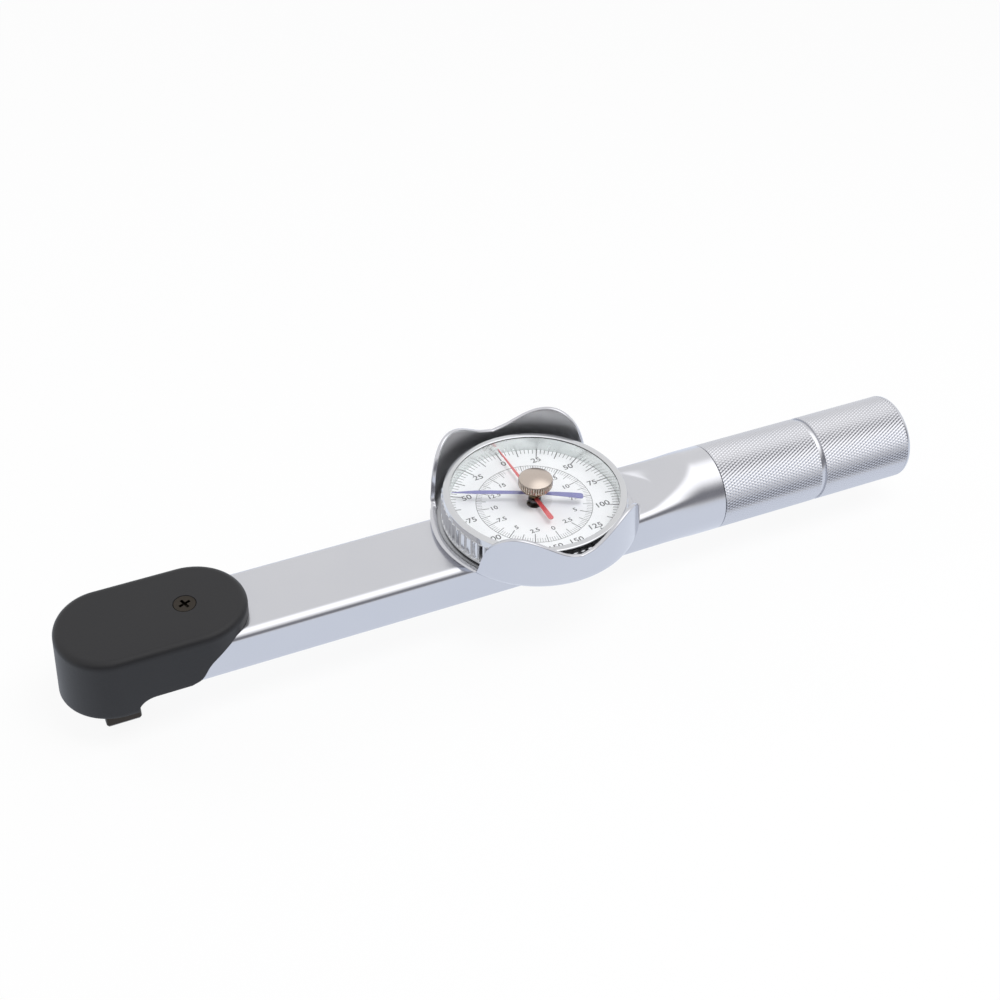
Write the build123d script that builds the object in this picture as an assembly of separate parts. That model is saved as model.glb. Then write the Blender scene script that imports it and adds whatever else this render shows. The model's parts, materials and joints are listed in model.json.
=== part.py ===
from build123d import *
from math import acos, asin, cos, pi, radians, sin, tan
import os

# Dial torque wrench, 3/8 inch square drive, 0 to 150 in lb (17 N m) each way.
# Sizes are in millimetres. +X runs along the tube to the handle and +Z is the dial side.
# Every piece is modelled with the tube's axis at z = 0 and the drive's axis at x = y = 0.
# The finished pieces are then lifted so that the end face of the square is at z = 0.

# Square drive and head
square_across = 9.525
square_length = 11.6
square_corner = 0.7
square_chamfer = 0.8
square_chamfer_in = 0.48
collar_d = 13.4
collar_below_tube = 2.6
hub_side_gap = 1.25
hub_gap = 0.3
upper_trunnion_d = 9.0
upper_trunnion_above = 2.4
running_gap = 0.04
tail_w = 11.0
tail_reach = 18.0
tail_floor = -1.2
clip_d = 11.6
clip_t = 0.8
clip_groove_depth = 0.8
clip_groove_above = 0.15
clip_mouth_w = 4.0

# Detent ball in the square
ball_d = 3.2
ball_proud = 0.6
ball_from_tip = 5.4
ball_play = 0.05
detent_pocket_depth = 4.2
detent_wire_d = 0.35
detent_spring_inset = 0.45
detent_spring_play = 0.3
detent_turns = 3

# Tube: rectangular in front, swaged to a round handle behind
tube_w = 25.1
tube_h = 13.6
tube_wall = 1.5
tube_edge_r = 2.1
handle_d = 25.4
swage_start_x = 150.0
swage_end_x = 178.0
handle_end_x = 244.0
handle_end_r = 1.4
groove_x = 212.6
groove_w = 1.7
groove_depth = 0.4
plug_t = 3.0
plug_spigot_t = 6.0
plug_spigot_wall = 2.0
plug_sunk = 0.4
plug_edge = 0.5

# Bushes that carry the head
bush_wall = 1.5
bush_flange_w = 1.2
bush_flange_t = 0.6

# Head cover
cover_wall = 2.1
cover_roof = 1.7
cover_head_gap = 0.6
cover_rear_x = 37.4
cover_boss_drop = 1.4
cover_skirt_rise = 2.6
cover_draft = 1.75
cover_edge_r = 2.0
cover_fit = 0.15
cover_step_x = 3.0
cover_step_w = 5.0
cover_step_slack = 1.2
cover_heel_x = 17.5
cover_sweep_back = 5.9
cover_sweep_shares = [(0.22, 0.15), (0.38, 0.46), (0.61, 0.71)]
cover_screw_x = 21.0
cover_screw_d = 3.0
cover_screw_head_d = 5.8
cover_screw_sunk = 0.1
cover_nut_d = 6.4
cover_nut_t = 1.9

# Torque beam and its anchor
beam_t = 3.2
beam_bottom = 0.0
beam_under_nut = 0.4
beam_front_x = 9.5
beam_play = 0.6
beam_slot_floor = 0.5
anchor_x = 56.0
anchor_len = 12.0
anchor_tunnel_w = 11.0
anchor_tunnel_above_arm = 0.5
anchor_side_play = 0.1
anchor_edge_r = 0.8
anchor_screw_inset = 3.05
anchor_screw_d = 3.0
anchor_screw_head_d = 5.6
anchor_screw_len = 5.5

# Indicator arm on the head
arm_t = 1.2
arm_half_w = 2.4
arm_start_x = 8.5
arm_neck_x = 26.0
arm_end_x = 100.0
arm_screw_x = 14.0
arm_screw_y = 3.9
arm_screw_d = 2.0
arm_screw_head_d = 3.6
arm_screw_grip = 2.6
arm_shoulder_w = 1.6
arm_seat_play = 0.9
stop_x = 80.0
stop_d = 2.0
stop_gap = 0.2
stop_top = -0.8

# Gear train
module = 0.4
pressure_angle = radians(20)
addendum = 0.8 * module
dedendum = 1.0 * module
tooth_thinning = 0.03
sector_teeth = 536
idler_pinion_teeth = 16
idler_wheel_teeth = 44
staff_pinion_teeth = 14
pointer_travel = 180.0
sector_t = 1.0
sector_depth = 12.0
sector_rivet_d = 1.6
sector_rivet_head_w = 0.4
sector_rivet_head_t = 0.3
sector_rivet_insets = (5.0, 1.5)
sector_rim_w = 3.0
sector_neck = 2.0
wheel_t = 1.0
wheel_bottom = 1.0
wheel_rim_w = 1.6
wheel_hub_d = 5.0
wheel_spoke_w = 1.4
mesh_overlap = 0.3
arbor_d = 1.6
pivot_d = 1.0
end_shake = 0.2

# Movement plates
plate_t = 1.2
plate_side_gap = 0.55
plate_front_x = 98.0
plate_rear_x = 134.0
movement_floor_gap = 0.3
pillar_d = 2.6
pillar_inset = 1.6
pillar_side_inset = 1.4
pillar_screw_d = 1.4
pillar_screw_head_d = 2.4
pillar_screw_head_t = 0.25
pillar_screw_grip = 2.5
staff_hole_play = 0.5
jewel_d = 2.6

# Dial guard, above the tube's top face
guard_gap = 2.3
guard_t = 1.2
guard_corner_r = 3.0
guard_hole_d = 12.0
guard_peak_h = 17.8
guard_valley_h = 10.8
guard_shoulder_h = 14.0
guard_toe_h = 7.6
guard_heel_h = 3.0
guard_peak_angle = 32.0
guard_shoulder_angle = 49.0
guard_end_angle = 56.5
guard_foot_angle = 60.5
guard_lip = 0.4
guard_foot_inset = 0.6

# Bezel seat, bezel, crystal and dial, all sized from the window
bezel_window_d = 47.8
seat_inset = 0.5
seat_t = 2.8
seat_bore_d = 5.0
seat_groove_depth = 0.7
seat_screw_x = 8.0
seat_screw_y = 7.0
seat_screw_d = 2.4
seat_screw_head_d = 4.4
bezel_wall = 2.4
bezel_rim_step = 0.4
bezel_floor_gap = 0.5
bezel_seat_gap = 0.4
bezel_rim_above_crystal = 0.1
bezel_rim_h = 2.2
bezel_foot_t = 0.8
bezel_foot_step = 0.3
flute_count = 72
flute_depth = 0.6
flute_mouth_share = 0.76
flute_floor_share = 0.36
ledge_above_seat = 0.5
ledge_t = 0.3
ledge_w = 1.9
dial_plate_t = 0.5
dial_fit = 0.05
dial_hole_d = 4.4
crystal_t = 0.8
crystal_rebate = 0.4
crystal_fit = 0.05
gasket_t = 0.3
gasket_w = 1.4
gasket_inset = 0.4
snap_wire_d = 0.8
snap_play = 0.1
snap_gap_angle = 18.0

# Main pointer and its staff
staff_d = 2.0
staff_bush_d = seat_bore_d
pointer_above_dial = 2.2
pointer_t = 0.3
pointer_edge_gap = 0.7
pointer_tail = 10.4
pointer_root_w = 1.1
pointer_tip_w = 0.35
pointer_tail_w = 1.6
pointer_hub_d = 3.6
pointer_hub_below = 0.9
staff_above_pointer = 0.3
pointer_zero = 92.0

# Hairspring that takes up the backlash
collet_d = 3.0
collet_overhang = 0.3
hairspring_inner_r = 1.85
hairspring_outer_r = 5.2
hairspring_turns = 3.0
hairspring_strip_t = 0.16
hairspring_strip_h = 0.8
hairspring_bottom = -1.5
hairspring_stud_d = 1.0

# Memory pointer and its knob
memory_t = 0.25
memory_edge_gap = 0.7
memory_tail = 13.6
memory_root_w = 1.5
memory_tip_w = 0.4
memory_tail_w = 1.7
memory_at = 155.0
memory_above_staff = 0.3
memory_hub_below = 0.55
memory_hub_above = 0.3
memory_under_crystal = 0.2
memory_hub_low_d = 3.4
memory_cone_step = 0.2
memory_hub_high_d = 4.6
stem_d = 2.4
crystal_bush_d = 4.0
crystal_bush_flange_d = 5.6
crystal_bush_flange_t = 0.2
washer_gap = 0.05
washer_t = 0.25
washer_inset = 0.3
knob_d = 9.7
knob_neck_d = 5.2
knob_cone_h = 1.3
knob_band_h = 2.0
knob_dome_h = 1.5
knob_teeth = 40
knob_tooth_depth = 0.25
knob_step = 0.1
knob_socket_depth = 2.4

# Cross recess of a screw, as shares of its head
recess_arm_share = 0.58
recess_slot_share = 0.14
recess_depth_share = 0.8

# How far a cut runs past what it cuts
past = 1.0

# Places that follow from the sizes: tube and head
half_h = tube_h / 2
half_w = tube_w / 2
inner_top = half_h - tube_wall
inner_half_w = half_w - tube_wall
handle_r = handle_d / 2
square_top = -half_h - collar_below_tube
square_tip = square_top - square_length
hub_d = 2 * (inner_half_w - hub_side_gap)
hub_top = inner_top - bush_flange_t - hub_gap
clip_groove_d = upper_trunnion_d - 2 * clip_groove_depth
ball_z = square_tip + ball_from_tip
ball_centre_x = square_across / 2 + ball_proud - ball_d / 2
detent_pocket_x = ball_centre_x - ball_d / 2 - detent_pocket_depth

# Head cover
cover_w = tube_w + 2 * (cover_fit + cover_wall)
cover_cavity_top = half_h + upper_trunnion_above + cover_head_gap
cover_top = cover_cavity_top + cover_roof
cover_boss_bottom = -half_h - cover_boss_drop
cover_skirt_bottom = -half_h + cover_skirt_rise

# Gear train and movement
sector_r = module * sector_teeth / 2
idler_pinion_r = module * idler_pinion_teeth / 2
idler_wheel_r = module * idler_wheel_teeth / 2
staff_pinion_r = module * staff_pinion_teeth / 2
idler_x = sector_r + idler_pinion_r
dial_x = idler_x + idler_wheel_r + staff_pinion_r
train_ratio = (sector_teeth / idler_pinion_teeth) * (idler_wheel_teeth / staff_pinion_teeth)
drive_travel = pointer_travel / train_ratio
arm_top = tail_floor
arm_bottom = arm_top - arm_t
arm_head_half = arm_screw_y + arm_shoulder_w
beam_h = inner_top - cover_nut_t - beam_under_nut - beam_bottom
beam_top = beam_bottom + beam_h
anchor_screw_y = inner_half_w - anchor_screw_inset
anchor_tunnel_top = arm_top + anchor_tunnel_above_arm
sector_bottom = arm_top
sector_top = sector_bottom + sector_t
plate_w = 2 * (inner_half_w - plate_side_gap)
lower_plate_bottom = -inner_top + movement_floor_gap
lower_plate_top = lower_plate_bottom + plate_t
upper_plate_bottom = inner_top - plate_t

# Across the dial, from the window outwards
seat_d = bezel_window_d - 2 * seat_inset
bezel_grip_d = bezel_window_d + 2 * bezel_wall
bezel_rim_d = bezel_grip_d - 2 * bezel_rim_step
guard_d = bezel_grip_d + 2 * (guard_gap + guard_t)
guard_r = guard_d / 2
ledge_in_d = bezel_window_d - 2 * ledge_w
crystal_d = bezel_window_d + 2 * crystal_rebate
pointer_reach = bezel_window_d / 2 - pointer_edge_gap
memory_reach = bezel_window_d / 2 - memory_edge_gap

# Up through the dial, from the tube's top face
guard_floor_top = half_h + guard_t
seat_bottom = guard_floor_top
seat_top = seat_bottom + seat_t
bezel_bottom = guard_floor_top + bezel_floor_gap
snap_z = bezel_bottom + bezel_foot_t + 2 * snap_play
ledge_bottom = seat_top + ledge_above_seat
ledge_top = ledge_bottom + ledge_t
dial_top = ledge_top + dial_plate_t
pointer_z = dial_top + pointer_above_dial
pointer_hub_bottom = pointer_z - pointer_hub_below
staff_top = pointer_z + pointer_t + staff_above_pointer
memory_hub_bottom = staff_top + memory_above_staff
memory_z = memory_hub_bottom + memory_hub_below
memory_hub_top = memory_z + memory_t + memory_hub_above
crystal_bottom = memory_hub_top + memory_under_crystal
crystal_top = crystal_bottom + crystal_t
bezel_rim_top = crystal_top + bezel_rim_above_crystal
bezel_grip_top = bezel_rim_top - bezel_rim_h
flange_top = crystal_top + crystal_bush_flange_t
knob_bottom = flange_top + washer_gap + washer_t
knob_top = knob_bottom + knob_cone_h + knob_band_h + knob_dome_h


def turned(points, x=0.0):
    """A solid of revolution about a vertical axis at x, from a closed (radius, height) outline."""
    outline = make_face(Polyline(*points, close=True))
    return Pos(x, 0, 0) * revolve(Plane.XZ * outline, Axis.Z)


def disc(diameter, bottom, top, x=0.0, y=0.0):
    """An upright cylinder between two heights."""
    height = top - bottom
    return Pos(x, y, bottom + height / 2) * Cylinder(diameter / 2, height)


def block(x0, x1, width, bottom, top, y=0.0):
    """A box centred on y, given by its ends along X, its width and its two heights."""
    size = Box(x1 - x0, width, top - bottom)
    return Pos((x0 + x1) / 2, y, (bottom + top) / 2) * size


def countersunk(head_d, shank_d, top, tip, x=0.0, y=0.0, recess=False):
    """A countersunk screw with its flat head uppermost, or upside down when tip is above top."""
    way = 1 if top > tip else -1
    head_h = (head_d - shank_d) / 2
    outline = [
        (0, top),
        (head_d / 2, top),
        (shank_d / 2, top - way * head_h),
        (shank_d / 2, tip),
        (0, tip),
    ]
    screw = Pos(x, y, 0) * turned(outline)
    if recess:
        arm = head_d * recess_arm_share
        slot_w = head_d * recess_slot_share
        depth = head_h * recess_depth_share
        cut_z = top - way * depth / 2
        for turn in (20, 110):
            screw -= Pos(x, y, cut_z) * Rot(0, 0, turn) * Box(arm, slot_w, depth)
    return screw


# Tube sections
def flat_section(w, h, r):
    """Start, middle and end of each side and corner of a rounded rectangle, from the +Y side round."""
    a, b = w / 2 - r, h / 2 - r
    k = r * sin(radians(45))
    corner = [
        ((w / 2, -b), (w / 2, 0), (w / 2, b)),
        ((w / 2, b), (a + k, b + k), (a, h / 2)),
        ((a, h / 2), (0, h / 2), (-a, h / 2)),
        ((-a, h / 2), (-a - k, b + k), (-w / 2, b)),
    ]
    return corner + [tuple((-y, -z) for y, z in arc) for arc in corner]


def on_circle(r, angle):
    return (r * cos(radians(angle)), r * sin(radians(angle)))


def round_section(r, side_angle=23.0, corner_angle=16.0):
    """The same eight stretches on a circle."""
    stops = [-side_angle, side_angle, side_angle + corner_angle, 180 - side_angle - corner_angle]
    stops += [180 - side_angle]
    stops += [s + 180 for s in stops[1:]]
    return [
        (on_circle(r, s), on_circle(r, (s + e) / 2), on_circle(r, e)) for s, e in zip(stops, stops[1:])
    ]


def blended_face(x, flat, circle, share):
    """A closed face at x, that share of the way from the flat section to the circle."""
    edges = []
    for flat_arc, circle_arc in zip(flat, circle):
        arc = []
        for (fy, fz), (cy, cz) in zip(flat_arc, circle_arc):
            arc.append((x, fy + (cy - fy) * share, fz + (cz - fz) * share))
        straight = share == 0 and (flat_arc[0][0] == flat_arc[2][0] or flat_arc[0][1] == flat_arc[2][1])
        edges.append(Line(arc[0], arc[2]) if straight else ThreePointArc(*arc))
    return make_face(edges)


def swaged_form(inset, front_x, rear_x):
    """The tube's form, shrunk by inset all round: straight, swaged from flat to round, then round."""
    w, h, r = tube_w - 2 * inset, tube_h - 2 * inset, max(tube_edge_r - inset, 0.6)
    flat = flat_section(w, h, r)
    circle = round_section(handle_r - inset)
    swage_len = swage_end_x - swage_start_x
    steps = [(0.0, 0.0), (0.35, 0.2), (0.68, 0.7), (1.0, 1.0)]
    faces = [blended_face(swage_start_x + swage_len * t, flat, circle, s) for t, s in steps]
    front = extrude(blended_face(front_x, flat, circle, 0.0), swage_start_x - front_x, dir=(1, 0, 0))
    middle = loft(faces)
    rear_len = rear_x - swage_end_x
    rear = Pos(swage_end_x + rear_len / 2, 0, 0) * Rot(0, 90, 0) * Cylinder(handle_r - inset, rear_len)
    return front + middle + rear


def housing_tube():
    outside = swaged_form(0, -half_w - past, handle_end_x)
    rim = outside.edges().filter_by(GeomType.CIRCLE).sort_by(Axis.X)[-1]
    outside = fillet(rim, handle_end_r)
    ring = Pos(groove_x, 0, 0) * Rot(0, 90, 0) * Cylinder(handle_r + past, groove_w)
    core = Pos(groove_x, 0, 0) * Rot(0, 90, 0) * Cylinder(handle_r - groove_depth, groove_w)
    outside -= ring - core
    tube = outside - swaged_form(tube_wall, -half_w - 2 * past, handle_end_x + past)
    round_nose = disc(tube_w, -half_h - past, half_h + past)
    behind = block(0, handle_end_x + past, handle_d + 2 * past, -handle_r - past, handle_r + past)
    tube &= round_nose + behind
    tube -= disc(upper_trunnion_d + 2 * bush_wall, 0, half_h + past)
    tube -= disc(collar_d + 2 * bush_wall, -half_h - past, 0)
    tube -= disc(cover_screw_d, 0, half_h + past, cover_screw_x)
    tube -= disc(guard_hole_d, 0, half_h + past, dial_x)
    for x, y in seat_screw_places():
        tube -= disc(seat_screw_d, 0, half_h + past, x, y)
    for side in (-1, 1):
        tube -= countersunk(
            anchor_screw_head_d, anchor_screw_d, -half_h, 0, anchor_x, side * anchor_screw_y
        )
        tube -= disc(stop_d, -half_h - past, 0, stop_x, side * stop_y())
    return tube


def handle_end_plug():
    bore_r = handle_r - tube_wall
    start = handle_end_x - plug_t - plug_spigot_t
    outline = [
        (0, handle_end_x - plug_t),
        (0, handle_end_x - plug_sunk),
        (bore_r - plug_edge, handle_end_x - plug_sunk),
        (bore_r, handle_end_x - plug_sunk - plug_edge),
        (bore_r, start),
        (bore_r - plug_spigot_wall, start),
        (bore_r - plug_spigot_wall, handle_end_x - plug_t),
    ]
    return Rot(0, 90, 0) * turned(outline)


# Head cover and its screw
def head_cover():
    cap_r = cover_w / 2
    length = cover_rear_x + cap_r
    plan = Pos((cover_rear_x - cap_r) / 2, 0, cover_top) * SlotOverall(length, cover_w)
    height = cover_top - cover_boss_bottom
    cover = extrude(plan, height, dir=(0, 0, -1), taper=cover_draft)
    cover = fillet(cover.faces().sort_by(Axis.Z)[-1].edges(), cover_edge_r)
    cover &= extrude(Plane.XZ * cover_side_face(), cover_w, both=True)
    cavity_w = tube_w + 2 * cover_fit
    cavity = disc(cavity_w, cover_boss_bottom - past, half_h)
    cavity += block(0, cover_rear_x + past, cavity_w, cover_boss_bottom - past, half_h)
    cover -= cavity
    cover -= disc(clip_d + 2 * cover_head_gap, 0, cover_cavity_top)
    cover -= countersunk(cover_screw_head_d + 2 * cover_fit, cover_screw_d, cover_top, 0, cover_screw_x)
    return cover


def cover_side_face():
    """The cover's side view: deep round the drive, shallow behind it, then swept up to the tube's top."""
    front, rear, top = -cover_w, cover_rear_x + past, cover_top + past
    step_start = (cover_step_x, cover_boss_bottom)
    step_end = (cover_step_x + cover_step_w, cover_skirt_bottom)
    heel = (cover_heel_x, cover_skirt_bottom)
    run = cover_rear_x - cover_sweep_back - cover_heel_x
    rise = half_h - cover_skirt_bottom
    swept = [(heel[0] + run * along, heel[1] + rise * up) for along, up in cover_sweep_shares]
    sweep_end = (heel[0] + run, half_h)
    outline = Polyline(
        sweep_end,
        (rear, half_h),
        (rear, top),
        (front, top),
        (front, cover_boss_bottom - past),
        (cover_step_x, cover_boss_bottom - past),
        step_start,
    )
    edges = [
        RadiusArc(step_start, step_end, cover_step_w + cover_step_slack),
        Line(step_end, heel),
        Spline(heel, *swept, sweep_end, tangents=((1, 0.1), (1, 0.8))),
    ]
    return make_face(edges + outline.edges())


def cover_screw():
    tip = inner_top - cover_nut_t
    top = cover_top - cover_screw_sunk
    return countersunk(cover_screw_head_d, cover_screw_d, top, tip, cover_screw_x, 0, True)


def cover_nut():
    nut = disc(cover_nut_d, inner_top - cover_nut_t, inner_top, cover_screw_x)
    return nut - disc(cover_screw_d, 0, inner_top + past, cover_screw_x)


# Bushes and the drive head
def bush(bore_d, wall_in, wall_out):
    """A flanged bush in the tube's wall, with its flange against the inner face."""
    way = 1 if wall_out > wall_in else -1
    body_r = bore_d / 2 + bush_wall
    flange_in = wall_in - way * bush_flange_t
    bore_r = bore_d / 2 + running_gap
    return turned([
        (bore_r, wall_out),
        (body_r, wall_out),
        (body_r, wall_in),
        (body_r + bush_flange_w, wall_in),
        (body_r + bush_flange_w, flange_in),
        (bore_r, flange_in),
    ])


def upper_bush():
    return bush(upper_trunnion_d, inner_top, half_h)


def lower_bush():
    return bush(collar_d, -inner_top, -half_h)


def drive_head():
    head = disc(hub_d, -hub_top, hub_top)
    head += block(0, tail_reach, tail_w, tail_floor, hub_top)
    arm_seat_w = 2 * (arm_head_half + arm_seat_play)
    head -= block(arm_start_x, hub_d / 2 + past, arm_seat_w, -hub_top - past, tail_floor)
    slot_w = beam_t + 2 * beam_play
    slot_floor = beam_bottom - beam_slot_floor
    head -= block(beam_front_x - past, tail_reach + past, slot_w, slot_floor, hub_top + past)
    groove_z = half_h + clip_groove_above
    head += disc(upper_trunnion_d, hub_top, groove_z)
    head += disc(clip_groove_d, groove_z, groove_z + clip_t)
    head += disc(upper_trunnion_d, groove_z + clip_t, half_h + upper_trunnion_above)
    head += disc(collar_d, square_top, -hub_top)
    square = RectangleRounded(square_across, square_across, square_corner)
    drive = extrude(Pos(0, 0, square_tip) * square, square_top - square_tip)
    drive = chamfer(drive.faces().sort_by(Axis.Z)[0].edges(), square_chamfer, square_chamfer_in)
    head += drive
    pocket_len = square_across / 2 + past - detent_pocket_x
    pocket = Rot(0, 90, 0) * Cylinder(ball_d / 2 + ball_play, pocket_len)
    head -= Pos(detent_pocket_x + pocket_len / 2, 0, ball_z) * pocket
    for side in (-1, 1):
        screw_top = tail_floor + arm_screw_grip
        head -= disc(arm_screw_d, tail_floor - past, screw_top + end_shake, arm_screw_x, side * arm_screw_y)
    return head


def head_clip():
    """An open retaining ring in the upper trunnion's groove, above the upper bush."""
    bottom = half_h + clip_groove_above
    top = bottom + clip_t
    ring = disc(clip_d, bottom, top) - disc(clip_groove_d, bottom - past, top + past)
    return ring - block(-clip_d, 0, clip_mouth_w, bottom - past, top + past)


def detent_ball():
    return Pos(ball_centre_x, 0, ball_z) * Sphere(ball_d / 2)


def detent_spring():
    radius = ball_d / 2 - detent_spring_inset
    length = detent_pocket_depth - ball_proud - detent_spring_play
    pitch = (length - detent_wire_d) / detent_turns
    path = Helix(pitch, length - detent_wire_d, radius)
    start = path @ 0
    wire = sweep(Plane(origin=start, z_dir=path % 0) * RegularPolygon(detent_wire_d / 2, 6), path)
    return Pos(detent_pocket_x + detent_wire_d / 2 + ball_play, 0, ball_z) * Rot(0, 90, 0) * wire


# Torque beam, anchor and indicator arm
def torque_beam():
    rear = anchor_x + anchor_len / 2
    beam = block(beam_front_x, rear, beam_t, beam_bottom, beam_top)
    nose = beam.edges().filter_by(Axis.Z).group_by(Axis.X)[0]
    return fillet(nose, beam_t / 2 - 0.05)


def beam_anchor():
    x0, x1 = anchor_x - anchor_len / 2, anchor_x + anchor_len / 2
    anchor = block(x0, x1, 2 * (inner_half_w - anchor_side_play), -inner_top, inner_top)
    anchor = fillet(anchor.edges().filter_by(Axis.X), anchor_edge_r)
    anchor -= block(x0 - past, x1 + past, anchor_tunnel_w, -inner_top - past, anchor_tunnel_top)
    anchor -= block(x0 - past, x1 + past, beam_t, beam_bottom, beam_top)
    for side in (-1, 1):
        anchor -= disc(
            anchor_screw_d, -inner_top - past, -half_h + anchor_screw_len, anchor_x, side * anchor_screw_y
        )
    return anchor


def anchor_screws():
    tip = -half_h + anchor_screw_len
    screws = [
        countersunk(anchor_screw_head_d, anchor_screw_d, -half_h, tip, anchor_x, side * anchor_screw_y, True)
        for side in (-1, 1)
    ]
    return Part() + screws


def stop_y():
    swing = stop_x * sin(radians(drive_travel))
    return arm_half_w + swing + stop_gap + stop_d / 2


def stop_pins():
    return Part() + [disc(stop_d, -half_h, stop_top, stop_x, side * stop_y()) for side in (-1, 1)]


def indicator_arm():
    outline = [
        (arm_start_x, -arm_head_half),
        (tail_reach, -arm_head_half),
        (arm_neck_x, -arm_half_w),
        (arm_end_x, -arm_half_w),
        (arm_end_x, arm_half_w),
        (arm_neck_x, arm_half_w),
        (tail_reach, arm_head_half),
        (arm_start_x, arm_head_half),
    ]
    arm = extrude(Pos(0, 0, arm_bottom) * make_face(Polyline(*outline, close=True)), arm_t)
    for side in (-1, 1):
        arm -= arm_screw(side)
    for x in sector_rivet_places():
        arm -= disc(sector_rivet_d, arm_bottom - past, arm_top + past, x)
    return arm


def arm_screw(side):
    return countersunk(
        arm_screw_head_d,
        arm_screw_d,
        arm_bottom,
        tail_floor + arm_screw_grip,
        arm_screw_x,
        side * arm_screw_y,
    )


def arm_screws():
    return Part() + [arm_screw(side) for side in (-1, 1)]


# Gears
def involute(angle):
    return tan(angle) - angle


def half_tooth_angle(teeth, radius):
    """Half the angle that a tooth fills at a radius, on a gear of so many teeth."""
    base_r = module * teeth / 2 * cos(pressure_angle)
    roll = acos(min(1.0, base_r / radius))
    at_pitch = (pi / 2 - 2 * tooth_thinning / module) / teeth
    return at_pitch + involute(pressure_angle) - involute(roll)


def tooth_points(teeth, centre_angle):
    """One tooth from root to tip and back, with involute flanks and a radial root below the base circle."""
    pitch_r = module * teeth / 2
    base_r = pitch_r * cos(pressure_angle)
    root_r = pitch_r - dedendum
    flank = [root_r, max(base_r, root_r + 0.1), pitch_r, pitch_r + addendum]
    rise = [(r, centre_angle - half_tooth_angle(teeth, r)) for r in flank]
    fall = [(r, centre_angle + half_tooth_angle(teeth, r)) for r in reversed(flank)]
    return [(r * cos(a), r * sin(a)) for r, a in rise + fall]


def gear(teeth, bottom, height, offset=0.0):
    """A whole gear about the origin; offset turns it by that share of a tooth."""
    pitch = 2 * pi / teeth
    points = []
    for k in range(teeth):
        points += tooth_points(teeth, (k + offset) * pitch)
    return extrude(Pos(0, 0, bottom) * make_face(Polyline(*points, close=True)), height)


def sector_rivet_places():
    return [arm_end_x - inset for inset in sector_rivet_insets]


def sector_half_teeth():
    """Teeth each side of the middle: the arm's swing at the pitch circle and two more."""
    swing = sector_r * radians(drive_travel)
    return int(swing / (pi * module)) + 3


def sector_gear():
    """Toothed arc about the drive's axis, on the end of the indicator arm."""
    pitch = 2 * pi / sector_teeth
    count = sector_half_teeth()
    points = []
    for k in range(-count, count):
        points += tooth_points(sector_teeth, (k + 0.5) * pitch)
    root_r = sector_r - dedendum
    edge = (count + 0.2) * pitch
    back_x = sector_r - sector_depth
    rim_r = sector_r - sector_rim_w
    points += [
        (root_r * cos(edge), root_r * sin(edge)),
        (rim_r * cos(edge), rim_r * sin(edge)),
        (back_x + sector_neck, arm_half_w),
        (back_x, arm_half_w),
        (back_x, -arm_half_w),
        (back_x + sector_neck, -arm_half_w),
        (rim_r * cos(edge), -rim_r * sin(edge)),
        (root_r * cos(edge), -root_r * sin(edge)),
    ]
    sector = extrude(Pos(0, 0, sector_bottom) * make_face(Polyline(*points, close=True)), sector_t)
    for x in sector_rivet_places():
        sector -= disc(sector_rivet_d, sector_bottom - past, sector_top + past, x)
    return sector


def sector_rivets():
    rivets = []
    for x in sector_rivet_places():
        rivets.append(
            disc(sector_rivet_d, arm_bottom, sector_top, x)
            + disc(sector_rivet_d + 2 * sector_rivet_head_w, sector_top, sector_top + sector_rivet_head_t, x)
        )
    return Part() + rivets


def idler_pinion():
    """The idler's arbor, with its pinion cut from the same bar."""
    bottom = sector_bottom - mesh_overlap
    height = sector_t + 2 * mesh_overlap
    arbor = gear(idler_pinion_teeth, bottom, height)
    arbor += disc(arbor_d, lower_plate_top + end_shake, upper_plate_bottom - end_shake)
    arbor += disc(pivot_d, lower_plate_bottom + end_shake, inner_top - end_shake)
    return Pos(idler_x, 0, 0) * arbor


def idler_wheel():
    """The crossed-out wheel on the idler's arbor."""
    wheel = gear(idler_wheel_teeth, wheel_bottom, wheel_t)
    rim_r = idler_wheel_r - wheel_rim_w
    low, high = wheel_bottom - past, wheel_bottom + wheel_t + past
    window = disc(2 * rim_r, low, high) - disc(wheel_hub_d, low, high)
    for turn in (45, 135):
        window -= Rot(0, 0, turn) * block(-rim_r, rim_r, wheel_spoke_w, low, high)
    wheel -= window
    wheel -= disc(arbor_d, low, high)
    return Pos(idler_x, 0, 0) * wheel


def pointer_staff():
    """The staff that carries the main pointer, with its pinion cut from the same bar."""
    bottom = wheel_bottom - mesh_overlap
    height = wheel_t + 2 * mesh_overlap
    staff = gear(staff_pinion_teeth, bottom, height, 0.5)
    staff += disc(staff_d, lower_plate_top + end_shake, staff_top)
    staff += disc(pivot_d, lower_plate_bottom + end_shake, lower_plate_top + 2 * end_shake)
    return Pos(dial_x, 0, 0) * staff


# Movement plates, pillars and bearings
def pillar_places():
    x0, x1 = plate_front_x + pillar_inset, plate_rear_x - pillar_inset
    y = plate_w / 2 - pillar_side_inset
    return [(x, side * y) for x in (x0, x1) for side in (-1, 1)]


def seat_screw_places():
    return [
        (dial_x + way * seat_screw_x, side * seat_screw_y) for way in (-1, 1) for side in (-1, 1)
    ]


def movement_plate(bottom):
    return block(plate_front_x, plate_rear_x, plate_w, bottom, bottom + plate_t)


def movement_lower_plate():
    plate = movement_plate(lower_plate_bottom)
    for x, y in pillar_places():
        plate -= disc(pillar_screw_d, lower_plate_bottom - past, lower_plate_top + past, x, y)
    for x in (idler_x, dial_x):
        plate -= disc(jewel_d, lower_plate_bottom - past, lower_plate_top + past, x)
    return plate


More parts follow.
